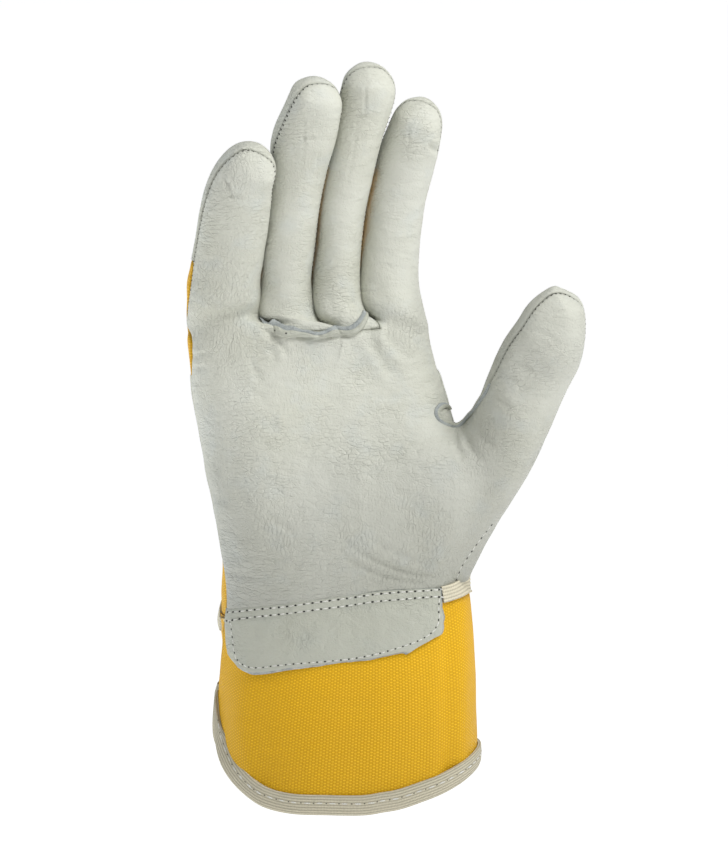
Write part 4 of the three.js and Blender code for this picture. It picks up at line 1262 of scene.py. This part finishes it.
def smooth_line(points, count):
    """Points evenly along a smooth line through the given ones."""
    points = np.array(points, float)
    padded = np.concatenate([[2 * points[0] - points[1]], points, [2 * points[-1] - points[-2]]])
    a, b, c, d = (padded[i:len(padded) - 3 + i, None] for i in range(4))
    t = np.linspace(0, 1, 12, endpoint=False)[None, :, None]
    square, cube = 2 * a - 5 * b + 4 * c - d, 3 * b - a - 3 * c + d
    line = 0.5 * (2 * b + (c - a) * t + square * t ** 2 + cube * t ** 3)
    line = np.concatenate([line.reshape(-1, points.shape[1]), points[-1:]])
    return even_line(line, count)


def even_line(line, count):
    """The same line with its points at even lengths."""
    lengths = lengths_along(line)
    goal = np.linspace(0, lengths[-1], count)
    return np.stack([np.interp(goal, lengths, line[:, i]) for i in range(line.shape[1])], axis=1)


def tree_of(*pieces):
    """The pieces' surfaces in millimetres, for finding places on them."""
    places, polygons = [], []
    for piece in pieces:
        first = len(places)
        places += [vertex.co * 1000 for vertex in piece.data.vertices]
        polygons += [[first + index for index in polygon.vertices] for polygon in piece.data.polygons]
    return BVHTree.FromPolygons(places, polygons)


def drape(tree, flat):
    """Points of the palm side at (x, z), with the outward direction there."""
    places, ups = [], []
    for x, z in flat:
        place, facing, _, _ = tree.ray_cast(Vector((x, FRONT_START, z)), Vector((0, 1, 0)))
        if place is None:
            place, facing, _, _ = tree.find_nearest(Vector((x, FRONT_DEPTH, z)))
        places.append(place)
        ups.append(facing)
    return np.array(places), np.array(ups)


def nearest_on(tree, line):
    """The closest points of a surface to those of a line, with the outward direction there."""
    found = [tree.find_nearest(Vector(place)) for place in line]
    return np.array([hit[0] for hit in found]), np.array([hit[1] for hit in found])


def eased(values, passes=4):
    """Each value is drawn toward its two neighbours, once for each pass."""
    values = np.array(values, float)
    for _ in range(passes):
        padded = np.concatenate([values[:1], values, values[-1:]])
        values = (padded[:-2] + 2 * padded[1:-1] + padded[2:]) / 4
    return values


def units(vectors):
    return vectors / np.maximum(np.linalg.norm(vectors, axis=1), 1e-9)[:, None]


def square_to(places, out):
    """Directions across a strip and out of it, square to its run."""
    along = units(np.gradient(places, axis=0))
    across = units(np.cross(out, along))
    return across, units(np.cross(along, across))


def sweep(name, places, across, out, profile, raw=(), smooth_angle=60):
    """A closed strip: the profile, in (across, out) offsets, carried along the places."""
    shape = np.array(profile, float)
    if shape.ndim == 2:
        shape = np.repeat(shape[None], len(places), axis=0)
    rings = places[:, None] + across[:, None] * shape[..., :1] + out[:, None] * shape[..., 1:]
    width = shape.shape[1]
    polygons, slots = [], []
    for i in range(len(places) - 1):
        for j in range(width):
            k = (j + 1) % width
            polygons.append([i * width + j, i * width + k, (i + 1) * width + k, (i + 1) * width + j])
            slots.append(1 if j in raw else 0)
    end = (len(places) - 1) * width
    polygons += [list(range(width))[::-1], [end + j for j in range(width)]]
    slots += [1 if raw else 0] * 2
    flat = rings.reshape(-1, 3)
    a, b, c, d = (flat[np.array(polygons[:-2])[:, i]] for i in range(4))
    if (a * (np.cross(b, c) + np.cross(c, d))).sum() < 0:
        polygons = [polygon[::-1] for polygon in polygons]
    piece = new_piece(name, flat, polygons, smooth_angle)
    piece.data.polygons.foreach_set("material_index", slots)
    run = lengths_along(places) / 1000
    step = np.linalg.norm(np.roll(shape, -1, axis=1) - shape, axis=2).mean(axis=0)
    round_run = np.concatenate([[0], np.cumsum(step)]) / 1000
    layer = piece.data.uv_layers.new(name="cloth")
    for polygon in piece.data.polygons[:len(polygons) - 2]:
        low = min(index % width for index in polygon.vertices)
        wraps = low == 0 and max(index % width for index in polygon.vertices) == width - 1 and width > 2
        for loop in polygon.loop_indices:
            vertex = piece.data.loops[loop].vertex_index
            column = vertex % width
            if wraps and column == 0:
                column = width
            layer.data[loop].uv = (run[vertex // width], round_run[column])
    return piece


base_low, base_low_out = drape(form_tree, smooth_line(BASE_STRIP_LOW, BASE_STRIP_STEPS))
base_high, base_high_out = drape(form_tree, smooth_line(BASE_STRIP_HIGH, BASE_STRIP_STEPS))
base_out = units(eased(base_low_out + base_high_out, 6))
base_rise = eased(base_high - base_low, 3)
base_rise -= base_out * np.einsum("ij,ij->i", base_rise, base_out)[:, None]
base_places = eased((base_low + base_high) / 2, 2) - base_rise / 2
wobble, leaning = 1 + lumps_at(base_places, WOBBLE), lumps_at(base_places, LEANING)
base_left = np.minimum(np.arange(BASE_STRIP_STEPS), np.arange(BASE_STRIP_STEPS)[::-1])
taper = np.clip(base_left / 5, 0.35, 1)
base_shape = np.repeat(np.array(BASE_STRIP_PROFILE)[None], BASE_STRIP_STEPS, axis=0)
proud = base_shape[..., 1] > 0
base_shape[..., 1] *= np.where(proud, wobble[:, None], 1)
base_shape[..., 0] += leaning[:, None] * proud
base_shape[..., 0] *= np.linalg.norm(base_rise, axis=1)[:, None]
base_shape[..., 1] *= np.where(proud, taper[:, None], 1)
base_strip = sweep("finger_base_welt", base_places, units(base_rise), base_out, base_shape, BASE_STRIP_RAW)
strip_hide = hide_finish("strip_hide", offcut=True)
finish_piece(base_strip, "finger_base_welt", "palm_hide", strip_hide, raw_edge)


# Thumb-crotch strip: a narrow binding of hide round the web between index finger and thumb. Its free end
# curls over on the palm side, and its one raw edge and its ends are blue-grey.
CROTCH_LINE = [
    (37.6, -2.4, 70.3), (36.3, -3.4, 71.2), (34.4, -6.6, 72.0), (33.0, -9.0, 71.6), (32.2, -10.8, 70.4),
    (32.5, -11.4, 68.8), (33.6, -11.0, 67.3), (35.4, -9.4, 66.1), (37.8, -6.9, 65.2), (39.9, -5.4, 65.3),
    (42.4, -5.9, 66.8), (44.0, -7.4, 68.6), (45.2, -10.1, 70.5), (46.2, -11.6, 72.3), (47.4, -13.3, 74.4),
    (48.8, -15.9, 77.3), (50.0, -17.8, 79.6), (51.0, -19.0, 81.4),
]
CROTCH_WIDTH = rows(
    "share width", (0, 0.3), (0.08, 0.65), (0.18, 0.95), (0.3, 1.0), (0.48, 0.9), (0.58, 0.6), (0.68, 0.5),
    (0.78, 0.7), (0.88, 0.85), (0.95, 0.6), (1, 0.25),
)
CROTCH_STEPS = 96
CROTCH_LEAN = 0.6
CROTCH_WOBBLE = rows(LUMP_COLUMNS, (2.2, 0.2, 0))
CROTCH_PROFILE = [
    (-1.3, -0.5), (-1.35, 0.5), (-1.05, 0.95), (-0.95, 0.98), (-0.4, 1.35), (0.4, 1.35), (0.95, 0.98),
    (1.05, 0.95), (1.35, 0.5), (1.3, -0.5),
]
CROTCH_RAW = (1, 2, 3)
crotch_line = smooth_line(CROTCH_LINE, CROTCH_STEPS)
crotch_on, crotch_facing = nearest_on(form_tree, crotch_line)
crotch_places = eased(crotch_on, 3)
crotch_out = units(eased(crotch_facing + FORWARD * CROTCH_LEAN, 8))
crotch_across, crotch_out = square_to(crotch_places, crotch_out)
crotch_width = value_at(CROTCH_WIDTH, np.linspace(0, 1, CROTCH_STEPS), "width")
crotch_shape = np.repeat(np.array(CROTCH_PROFILE)[None], CROTCH_STEPS, axis=0)
crotch_shape[..., 0] *= (crotch_width * (1 + lumps_at(crotch_places, CROTCH_WOBBLE)))[:, None]
crotch_strip = sweep("thumb_crotch_welt", crotch_places, crotch_across, crotch_out, crotch_shape, CROTCH_RAW)
finish_piece(crotch_strip, "thumb_crotch_welt", "palm_hide", strip_hide, raw_edge)


# Cuff: one stiff band of the same canvas, sewn to the hand at the wrist and left open in a split on the
# little-finger side.
# Section along which the cuff's cloth is measured
CUFF_SECTION = {"half": 46, "depth": 31}
CUFF_FOLDS = rows("x width height", (36.6, 2.4, -0.55), (31.5, 3.0, 0.45), (42.0, 2.4, 0.3), (-6, 9, 0.3))
CUFF_LUMPS = rows(LUMP_COLUMNS, (34, 0.5, 0), (11, 0.14, 20))
WARP_SLANT = 0.06
CUFF_ROLL = 0.25


def cuff_relief(places, normals):
    relief = lumps_at(places, CUFF_LUMPS)
    for fold in CUFF_FOLDS:
        relief += fold["height"] * hump((places[:, 0] - fold["x"]) / fold["width"]) * palm_side(normals)
    return relief


turns = np.radians(np.linspace(-180, 180, 721))
outline = np.stack(
    [np.sign(f(turns)) * np.abs(f(turns)) ** PALM_ROUND * size for f, size in
     ((np.cos, CUFF_SECTION["half"]), (np.sin, CUFF_SECTION["depth"]))], axis=1
)
outline_run = lengths_along(outline)
outline_turn = np.arctan2(outline[:, 1], outline[:, 0])
outline_turn[0], outline_turn[-1] = -math.pi, math.pi
round_cuff = np.interp(np.arctan2(-form[:, 1], form[:, 0]), outline_turn, outline_run)
sides = np.array([tag[2] == "back" for tag in tags])[face_tags]
behind = np.zeros(len(form), bool)
behind[faces[sides]] = True
behind[faces[~sides]] = False
round_cuff[behind & (form[:, 0] < 0) & (form[:, 1] < 0)] -= outline_run[-1]
cuff_cloth = np.stack([round_cuff + WARP_SLANT * form[:, 2], form[:, 2]], axis=1)
cuff = cut_piece("cuff_canvas", CANVAS_WALL, cuff_relief, CUFF_ROLL, flat_cloth=cuff_cloth)
finish_piece(cuff, "cuff_canvas", "yellow_canvas", yellow_canvas)


# Pulse patch: an offcut of the palm hide over the inside of the wrist, sewn on with the palm's hem above
# and its own border row below. The lower edge is cut raw, with a notch near the thumb side.
PATCH_LEFT = [(-41.5, 0.9), (-41.9, -2.5), (-41.8, -6.5), (-41.4, -11), (-40.6, -14.6)]
PATCH_LOW = [
    (-40.6, -14.6), (-39.3, -16.7), (-37.1, -19), (-35, -20.1), (-31.8, -20.8), (-28.4, -20.4),
    (-19.1, -18.3), (-14.9, -17.7), (-0.6, -15.4), (8.8, -14.6), (13.7, -13.5), (17.4, -12.8),
    (20.3, -12.3), (21, -12.9), (22, -12.7), (24.7, -10.9), (27.3, -9.5), (29.6, -8), (31.9, -7.3),
]
PATCH_RIGHT = [(33.9, 9.4), (33.9, 4.5), (34.1, 2), (34.8, -0.5), (34.5, -2.9), (34.1, -6.3), (31.9, -7.3)]
PATCH_TUCK = 0.9
PATCH_TOP = [(row["x"], row["z"] + PATCH_TUCK) for row in WRIST_LINE[1:-1]]
PATCH_TOP = [PATCH_LEFT[0]] + PATCH_TOP + [PATCH_RIGHT[0]]
ROWS_APART = 2.6
PATCH_ROWS = 26
PATCH_COLUMNS = 104
PATCH_LIFT = 1.45
PATCH_GAP = 0.25
PATCH_BEVEL = 0.9
PATCH_SIZE = (76.0, 22.0)
PATCH_FIRST = 0.04
PATCH_FINE = 400
PATCH_THIN = 0.35
PATCH_LUMPS = rows(LUMP_COLUMNS, (12, 0.22, 0), (5, 0.08, 9))
PATCH_CREPE = 0.5
PATCH_RAGGED = rows(LUMP_COLUMNS, (1.7, 0.22, 0))


def patch_shares(size, count, both_ends):
    """Even stations across the patch, with a narrow band for the bevel where the edge is cut."""
    band = PATCH_BEVEL / size
    if both_ends:
        return np.concatenate([[0, band], np.linspace(2 * band, 1 - 2 * band, count - 4), [1 - band, 1]])
    return np.concatenate([[0], np.linspace(PATCH_FIRST, 1 - 2 * band, count - 3), [1 - band, 1]])


def cut_grid(name, tree, top, low, left, right, relief_of):
    """A closed patch laid on a surface inside four edges, bevelled and a little ragged where it is cut."""
    s = patch_shares(PATCH_SIZE[0], PATCH_COLUMNS, True)
    t = patch_shares(PATCH_SIZE[1], PATCH_ROWS, False)
    even = np.linspace(0, 1, PATCH_FINE)

    def at(line, shares, plain=False):
        fine = even_line(np.array(line, float), PATCH_FINE) if plain else smooth_line(line, PATCH_FINE)
        return np.stack([np.interp(shares, even, fine[:, i]) for i in (0, 1)], axis=1)

    a, b = at(top, s)[None], at(low, s, True)[None]
    c, d = at(left, t)[:, None], at(right, t)[:, None]
    share_s, share_t = s[None, :, None], t[:, None, None]
    corners = [np.array(line[i], float) for line, i in ((top, 0), (top, -1), (low, 0), (low, -1))]
    flat = mix(a, b, share_t) + mix(c, d, share_s) - mix(
        mix(corners[0], corners[1], share_s), mix(corners[2], corners[3], share_s), share_t
    )
    places, out = drape(tree, flat.reshape(-1, 2))
    height, width = len(t), len(s)
    out = eased(out.reshape(height, width, 3), 2).transpose(1, 0, 2)
    out = units(eased(out, 2).transpose(1, 0, 2).reshape(-1, 3))
    column, row = np.tile(np.arange(width), height), np.repeat(np.arange(height), width)
    edge = np.minimum.reduce([column, width - 1 - column, height - 1 - row])
    lift = np.choose(np.minimum(edge, 2), (PATCH_GAP + 0.25, PATCH_LIFT - 0.12, PATCH_LIFT))
    tucked = mix(PATCH_GAP + PATCH_THIN, PATCH_LIFT, np.clip(row / 3, 0.0, 1))
    lift = np.minimum(lift, tucked) + relief_of(places, out) * (edge > 1)
    ragged = lumps_at(places, PATCH_RAGGED) * (edge == 0)
    upper = places + out * lift[:, None] + np.stack([ragged, 0 * ragged, ragged], axis=1)
    lower = places + out * PATCH_GAP
    count = width * height
    polygons, slots = [], []
    for i in range(height - 1):
        for j in range(width - 1):
            quad = [i * width + j, (i + 1) * width + j, (i + 1) * width + j + 1, i * width + j + 1]
            border = j == 0 or j == width - 2 or i == height - 2
            polygons += [quad, [count + index for index in quad[::-1]]]
            slots += [1 if border else 0, 1]
    rim = (
        [i * width for i in range(height)] + [(height - 1) * width + j for j in range(1, width)]
        + [i * width + width - 1 for i in range(height - 2, -1, -1)] + list(range(width - 2, 0, -1))
    )
    for a_id, b_id in zip(rim, rim[1:] + rim[:1]):
        polygons.append([b_id, a_id, count + a_id, count + b_id])
        slots.append(1)
    piece = new_piece(name, np.concatenate([upper, lower]), polygons, 50)
    piece.data.polygons.foreach_set("material_index", slots)
    return piece


def patch_relief(places, normals):
    """The patch swells between the two rows of holes and again below them."""
    below = (value_at(WRIST_LINE, places[:, 0], "z") - places[:, 2]) / ROWS_APART
    roll = 0.25 * np.sin(np.pi * np.clip(below, 0, 1)) + 0.3 * np.sin(np.pi * np.clip(below / 6 - 0.2, 0, 1))
    return roll + lumps_at(places, PATCH_LUMPS) + PATCH_CREPE * crepe_relief(places)


patch = cut_grid("pulse_patch", form_tree, PATCH_TOP, PATCH_LOW, PATCH_LEFT, PATCH_RIGHT, patch_relief)
patch_hide = hide_finish("patch_hide", offcut=True)
finish_piece(patch, "pulse_patch", "palm_hide", patch_hide, raw_edge)


# Wrist tape: cream woven tape over the wrist seam, from under the patch's thumb-side edge round the back
# to the little-finger side. Five cords run along it.
TAPE_START = 33.2
TAPE_SHORT = 5
# The far end turns down off the wrist seam, over the last steps, and lies flat on the cuff
TAPE_TURN = {"from": 16, "over": 12, "aside": 0.7, "down": 3.4}
TAPE_PROFILE = [
    (-2.9, 0.55), (-2.95, 1.2), (-2.5, 1.5), (-1.9, 1.25), (-1.25, 1.55), (-0.6, 1.3), (0, 1.58), (0.6, 1.3),
    (1.25, 1.55), (1.9, 1.25), (2.5, 1.5), (2.95, 1.2), (2.9, 0.55),
]
TAPE_COLOUR = (0.74, 0.69, 0.53, 1)
TAPE_DARK = (0.42, 0.38, 0.28, 1)
TAPE_GRIME = (0.50, 0.46, 0.36, 1)


def tape_finish(name, cord, thread, colour_high, colour_low):
    """Woven cotton tape: cords along it, crossed by close fine threads, with painted shade between the cords,
    a little grubby.
    """
    tape = Finish(name)
    place = tape.place()
    x, y, _ = tape.axes(tape.wavered(tape.cloth(), place, (0.0003, 0.0002, 0), 420))
    cords = tape.maths("SINE", tape.times(y, 2000 * math.pi / cord))
    threads = tape.maths("SINE", tape.times(x, 2000 * math.pi / thread))
    weave = tape.ramp(tape.maths("MULTIPLY_ADD", threads, 0.45, cords), -1.45, 1.45)
    fuzz = tape.noise(place, 0.5, 3, 0.6)
    tone = tape.times(tape.ramp(weave, 0.05, 0.7), tape.ramp(fuzz, 0.25, 0.6, 0.6, 1))
    colour = tape.blend(tone, colour_low, colour_high)
    wear_and_seam_shade = tape.blend(tape.ramp(tape.noise(place, 9, 3), 0.45, 0.75, 0, 0.3), colour, TAPE_GRIME)
    tape.surface(wear_and_seam_shade, 0.85, tape.bump(fuzz, 0.12, 0.5, tape.bump(weave, 0.18, 0.8)))
    return tape.material


tape_cloth = tape_finish("cream_tape", 1.3, 0.7, TAPE_COLOUR, TAPE_DARK)
wrist_path = paths["wrist"]
front_count = HAND_FACES * 2 ** DIVISIONS
after = np.arange(len(wrist_path)) > front_count
kept = wrist_path[after | (form[wrist_path, 0] > TAPE_START)][:-TAPE_SHORT]
tape_places, tape_out = eased(form[kept], 8), units(eased(form_normals[kept], 12))
tape_left = np.arange(len(tape_places))[::-1]
tape_last = np.clip((TAPE_TURN["from"] - tape_left) / TAPE_TURN["over"], 0, 1)[:, None]
tape_places = tape_places + tape_last * (TAPE_TURN["aside"], 0, -TAPE_TURN["down"])
tape_along = units(np.gradient(tape_places, axis=0))
tape_out = mix(tape_out, units(np.cross(tape_along, (0, 0, 1))), tape_last)
tape_across, tape_out = square_to(tape_places, tape_out)
tape_shape = np.array(TAPE_PROFILE)[None] * np.clip((tape_left + 1) / 4, 0.2, 1)[:, None, None]
wrist_tape = sweep("wrist_tape", tape_places, tape_across, tape_out, tape_shape)
finish_piece(wrist_tape, "wrist_tape", "cream_tape", tape_cloth)


# Hem binding: ribbed cotton tape folded over the raw edge of the cuff, up both sides of the split, and
# sewn through with long stitches.
BINDING_PROFILE = [
    (6.4, 0.12), (6.45, 1.0), (6.2, 1.3), (4.4, 1.4), (2.4, 1.4), (0.8, 1.25), (-0.2, 0.9), (-0.85, 0.2),
    (-1.05, -0.75), (-0.85, -1.7), (-0.2, -2.35), (0.8, -2.6), (3, -2.6), (5.2, -2.5), (5.4, -2.2),
    (5.3, -1.62), (0.4, -1.62), (0.25, 0.12),
]
BINDING_TOP = -28
BINDING_TAPER = 13
# The binding's tape is painted darker than the wrist tape: painted shade low on the cuff
BINDING_SHADED = (0.60, 0.56, 0.42, 1)
BINDING_SHADED_DARK = (0.30, 0.27, 0.20, 1)
binding_cloth = tape_finish("hem_tape", 0.95, 0.5, BINDING_SHADED, BINDING_SHADED_DARK)
hem_path = paths["hem"][form[paths["hem"], 2] < BINDING_TOP]
hem_places, hem_out = form[hem_path], units(eased(form_normals[hem_path], 6))
hem_along = units(eased(np.gradient(hem_places, axis=0), 10))
hem_across = units(eased(np.cross(hem_along, hem_out), 24))
if hem_across[:, 2].sum() < 0:
    hem_across = -hem_across
hem_left = np.minimum(np.arange(len(hem_places)), np.arange(len(hem_places))[::-1])
hem_shape = np.array(BINDING_PROFILE)[None] * np.clip((hem_left + 1) / 3, 0.3, 1)[:, None, None]
hem_shape[..., 0] *= np.clip((np.arange(len(hem_places)) + 1) / BINDING_TAPER, 0.15, 1)[:, None]
hem_binding = sweep("cuff_binding", hem_places, hem_across, hem_out, hem_shape)
finish_piece(hem_binding, "cuff_binding", "cream_tape", binding_cloth)


# Stitching: waxed cotton thread in needle holes, each hole a dark bead of painted shade. Each row is a line
# on the finished pieces with the outward direction at every point, and one tree sets a hole and a length of
# thread at every pitch.
THREAD_COLOUR = (0.80, 0.80, 0.74, 1)
HOLE_SHADE = (0.045, 0.045, 0.04, 1)


def thread_finish(name, colour, roughness):
    """Spun fibres, with painted shade between them."""
    thread = Finish(name)
    place = thread.place()
    fibres = thread.noise(place, 0.3, 3, 0.6)
    dark = tuple(0.55 * value for value in colour[:3]) + (1,)
    tone = thread.blend(thread.ramp(fibres, 0.3, 0.65), dark, colour)
    thread.surface(tone, roughness, thread.bump(fibres, 0.06, 0.6))
    return thread.material


cotton = thread_finish("cotton_thread", THREAD_COLOUR, 0.7)
painted_hole_shade = thread_finish("painted_hole_shade", HOLE_SHADE, 0.95)
BEAD = {"Segments": 8, "Rings": 5, "Radius": 0.5}
UNEVEN = {"Min": (0.8, 0.85, 0.9), "Max": (1.12, 1.15, 1.1)}
STITCH_INPUTS = {
    "Path": "Geometry", "Pitch": "Float", "Hole": "Vector", "Thread": "Vector", "Hole Material": "Material",
    "Thread Material": "Material", "Seed": "Int",
}


def stitch_tree():
    """The tree behind every row: a hole and a thread at each pitch, a little uneven in size."""
    tree = bpy.data.node_groups.new("stitch_row", "GeometryNodeTree")
    for name, kind in STITCH_INPUTS.items():
        tree.interface.new_socket(name=name, in_out="INPUT", socket_type="NodeSocket" + kind)
    tree.interface.new_socket(name="Stitches", in_out="OUTPUT", socket_type="NodeSocketGeometry")

    def add(kind, inputs=(), **settings):
        return add_node(tree, kind, inputs, **settings)

    given = add("NodeGroupInput").outputs
    line = add("GeometryNodeMeshToCurve", {"Mesh": given["Path"]})
    spaced = {"Curve": line.outputs[0], "Length": given["Pitch"]}
    dots = add("GeometryNodeCurveToPoints", spaced, mode="LENGTH").outputs
    up = add("GeometryNodeInputNamedAttribute", {"Name": "up"}, data_type="FLOAT_VECTOR")
    axes = {"Primary Axis": dots["Tangent"], "Secondary Axis": up.outputs[0]}
    turn = add("FunctionNodeAxesToRotation", axes, primary_axis="X", secondary_axis="Z")
    joined = add("GeometryNodeJoinGeometry")
    for name, seed, shift in (("Hole", 0, 0.0), ("Thread", 7, 0.5)):
        bead = add("GeometryNodeMeshUVSphere", BEAD)
        along = add("ShaderNodeMath", {0: given["Pitch"], 1: shift}, operation="MULTIPLY")
        middle = add("ShaderNodeCombineXYZ", {"X": along.outputs[0]})
        shaped = {"Geometry": bead.outputs[0], "Scale": given[name], "Translation": middle.outputs[0]}
        shaped = add("GeometryNodeTransform", shaped)
        seeded = add("ShaderNodeMath", {0: given["Seed"], 1: seed}, operation="ADD")
        size = add("FunctionNodeRandomValue", UNEVEN, data_type="FLOAT_VECTOR")
        tree.links.new(seeded.outputs[0], size.inputs["Seed"])
        placed = {"Points": dots["Points"], "Instance": shaped.outputs[0], "Rotation": turn.outputs[0]}
        placed = add("GeometryNodeInstanceOnPoints", {**placed, "Scale": size.outputs[0]})
        real = add("GeometryNodeRealizeInstances", {"Geometry": placed.outputs[0]})
        smooth = add("GeometryNodeSetShadeSmooth", {"Geometry": real.outputs[0]})
        dyed = {"Geometry": smooth.outputs[0], "Material": given[name + " Material"]}
        tree.links.new(add("GeometryNodeSetMaterial", dyed).outputs[0], joined.inputs[0])
    add("NodeGroupOutput", {0: joined.outputs[0]})
    return tree


stitching = stitch_tree()
ROW_STEPS = 160
SEAM_STEPS = 220


# Pitch along the row, then length, width and height of the hole and of the thread
STITCHES = {
    "topstitch": (3.0, (0.95, 0.75, 0.3), (2.1, 0.6, 0.5)),
    "border": (2.7, (0.75, 0.6, 0.28), (1.9, 0.5, 0.3)),
    "thumb_base": (2.9, (0.95, 0.7, 0.3), (1.9, 0.5, 0.3)),
    "side_seam": (1.8, (0.55, 1.25, 0.35), (0.6, 0.55, 0.22)),
    "hem": (4.4, (0.7, 0.35, 0.22), (2.6, 0.5, 0.22)),
    "cap": (2.6, (0.8, 0.6, 0.28), (1.7, 0.5, 0.3)),
    "thumb_back": (2.8, (0.8, 0.6, 0.28), (1.8, 0.5, 0.3)),
    "empty_hole": (6.8, (0.8, 0.6, 0.3), (0.1, 0.1, 0.1)),
}


def stitch_row(name, places, ups, kind, seed):
    """Holes and threads along the places, as one mesh made by the tree."""
    pitch, hole, thread = STITCHES[kind]
    mesh = bpy.data.meshes.new(name + "_line")
    count = len(places)
    mesh.from_pydata((np.asarray(places) / 1000).tolist(), [(i, i + 1) for i in range(count - 1)], [])
    attribute = mesh.attributes.new("up", "FLOAT_VECTOR", "POINT")
    attribute.data.foreach_set("vector", np.asarray(ups, np.float32).ravel())
    source = bpy.data.objects.new(name + "_line", mesh)
    bpy.context.collection.objects.link(source)
    modifier = source.modifiers.new("stitches", "NODES")
    modifier.node_group = stitching
    sizes = {
        "Pitch": pitch / 1000, "Hole": [value / 1000 for value in hole],
        "Thread": [value / 1000 for value in thread], "Hole Material": painted_hole_shade,
        "Thread Material": cotton, "Seed": seed,
    }
    for item in stitching.interface.items_tree:
        if item.in_out == "INPUT" and item.name in sizes:
            modifier[item.identifier] = sizes[item.name]
    graph = bpy.context.evaluated_depsgraph_get()
    stitches = bpy.data.meshes.new_from_object(source.evaluated_get(graph))
    bpy.data.objects.remove(source)
    bpy.data.meshes.remove(mesh)
    piece = bpy.data.objects.new(name, stitches)
    bpy.context.collection.objects.link(piece)
    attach(piece, "root")
    return piece


def draped_row(name, line, tree, kind, seed):
    """A row drawn in the palm view and laid on the pieces behind it."""
    places, ups = drape(tree, smooth_line(line, ROW_STEPS))
    stitch_row(name, places, units(eased(ups)), kind, seed)


def seam_row(name, path, tree, toward, kind, seed, above=None):
    """A row beside a seam of the form, moved toward the piece that it shows on."""
    line = form[path] + np.array(toward, float) - form_normals[path] * 0.5
    if above is not None:
        line = line[line[:, 2] > above]
    places, ups = nearest_on(tree, even_line(line, SEAM_STEPS))
    stitch_row(name, eased(places, 2), units(eased(ups, 6)), kind, seed)


# The upper row is the wrist line with three more holes on it
UPPER_ROW = sorted([(row["x"], row["z"]) for row in WRIST_LINE] + [(-34.3, 1.5), (-22.2, 3.5), (30.1, 8.9)])
LOWER_ROW = [
    (-41.5, -3.0), (-37.9, -1.9), (-31.4, -0.5), (-25.4, 0.6), (-16.6, 1.9), (-7.6, 3.3), (1.1, 4.4),
    (10.5, 5.8), (19.9, 6.4), (29.9, 6.7), (32.9, 6.4),
]
BORDER_ROW = [
    (-40.4, -3.1), (-39.9, -4.2), (-39.8, -6.3), (-39.4, -8.7), (-39.1, -11.8), (-37.9, -15.8), (-35, -17.7),
    (-32.1, -18), (-29.3, -17.8), (-26.5, -17.2), (-21.4, -16.4), (-14.9, -15.6), (1.5, -14),
    (10.9, -12.3), (16.3, -10.9), (21.3, -9.5), (26.1, -7.9), (30.1, -5.7), (31.9, -3.7), (32.8, -1),
    (32.8, 1.5), (32.9, 4),
]
THUMB_BASE_ROW = [
    (51.4, 31.0), (49.4, 28.5), (45.9, 23.7), (42.6, 18.7), (41.1, 16.4), (40, 13.7), (39.1, 11.3),
]
BARE_ROW = [(-27.0, 99.9), (-20.3, 98.9)]
LAID_ROWS = (
    ("wrist_stitches_upper", UPPER_ROW, "topstitch"), ("wrist_stitches_lower", LOWER_ROW, "topstitch"),
    ("patch_stitches", BORDER_ROW, "border"), ("thumb_base_stitches", THUMB_BASE_ROW, "thumb_base"),
)
THUMB_SEAM_LOW = 72
HEM_INSET = 3.6
HEM_PROUD = 1.4
HEM_TRIM = 6
STRAP_INSET = 2.4
STRAP_TRIM = 10
front_tree = tree_of(palm, patch)
for number, (name, line, kind) in enumerate(LAID_ROWS):
    draped_row(name, line, front_tree, kind, 1 + number)

leather_tree = tree_of(palm, fronts)
for number, finger in enumerate(FINGERS):
    name, path = finger["name"] + "_seam_stitches", paths[finger["name"] + "_tip"]
    seam_row(name, path, leather_tree, (0, -0.5, -0.2), "side_seam", 10 + number)
thumb_path = paths["thumb"]
seam_row("thumb_seam_stitches", thumb_path, leather_tree, (0, -0.5, 0), "side_seam", 20, THUMB_SEAM_LOW)

hem_line = eased(hem_places + hem_across * HEM_INSET + hem_out * HEM_PROUD, 6)[HEM_TRIM:-HEM_TRIM]
hem_on, _ = nearest_on(tree_of(hem_binding), hem_line)
stitch_row("hem_stitches", eased(hem_on, 3), hem_out[HEM_TRIM:-HEM_TRIM], "hem", 30)

strap_tree = tree_of(strap)
for key, other, seed in (("strap_top", "strap_bottom", 31), ("strap_bottom", "strap_top", 32)):
    edge, far = form[paths[key]], form[paths[other]]
    line = edge + units(far - edge) * STRAP_INSET + form_normals[paths[key]] * (STRAP_LIFT + 0.02)
    places = even_line(eased(line), ROW_STEPS)[STRAP_TRIM:-STRAP_TRIM]
    ups = units(eased(nearest_on(form_tree, places)[1], 6))
    found = [strap_tree.ray_cast(Vector(place + up * 3), Vector(-up))[0] for place, up in zip(places, ups)]
    places = eased(np.array([place if hit is None else hit for place, hit in zip(places, found)]), 2)
    stitch_row(key + "_stitches", places, ups, "topstitch", seed)

back_tree = tree_of(back, *backings)
for number, name in enumerate(("little", "ring", "middle")):
    stitches, path = name + "_cap_stitches", paths[name + "_cap"]
    seam_row(stitches, path, back_tree, (0, 0.3, 1.6), "cap", 40 + number)
seam_row("thumb_back_stitches", paths["thumb_back"], back_tree, (1.6, 0.6, 0), "thumb_back", 45)
draped_row("base_strip_holes", BARE_ROW, tree_of(base_strip), "empty_hole", 50)
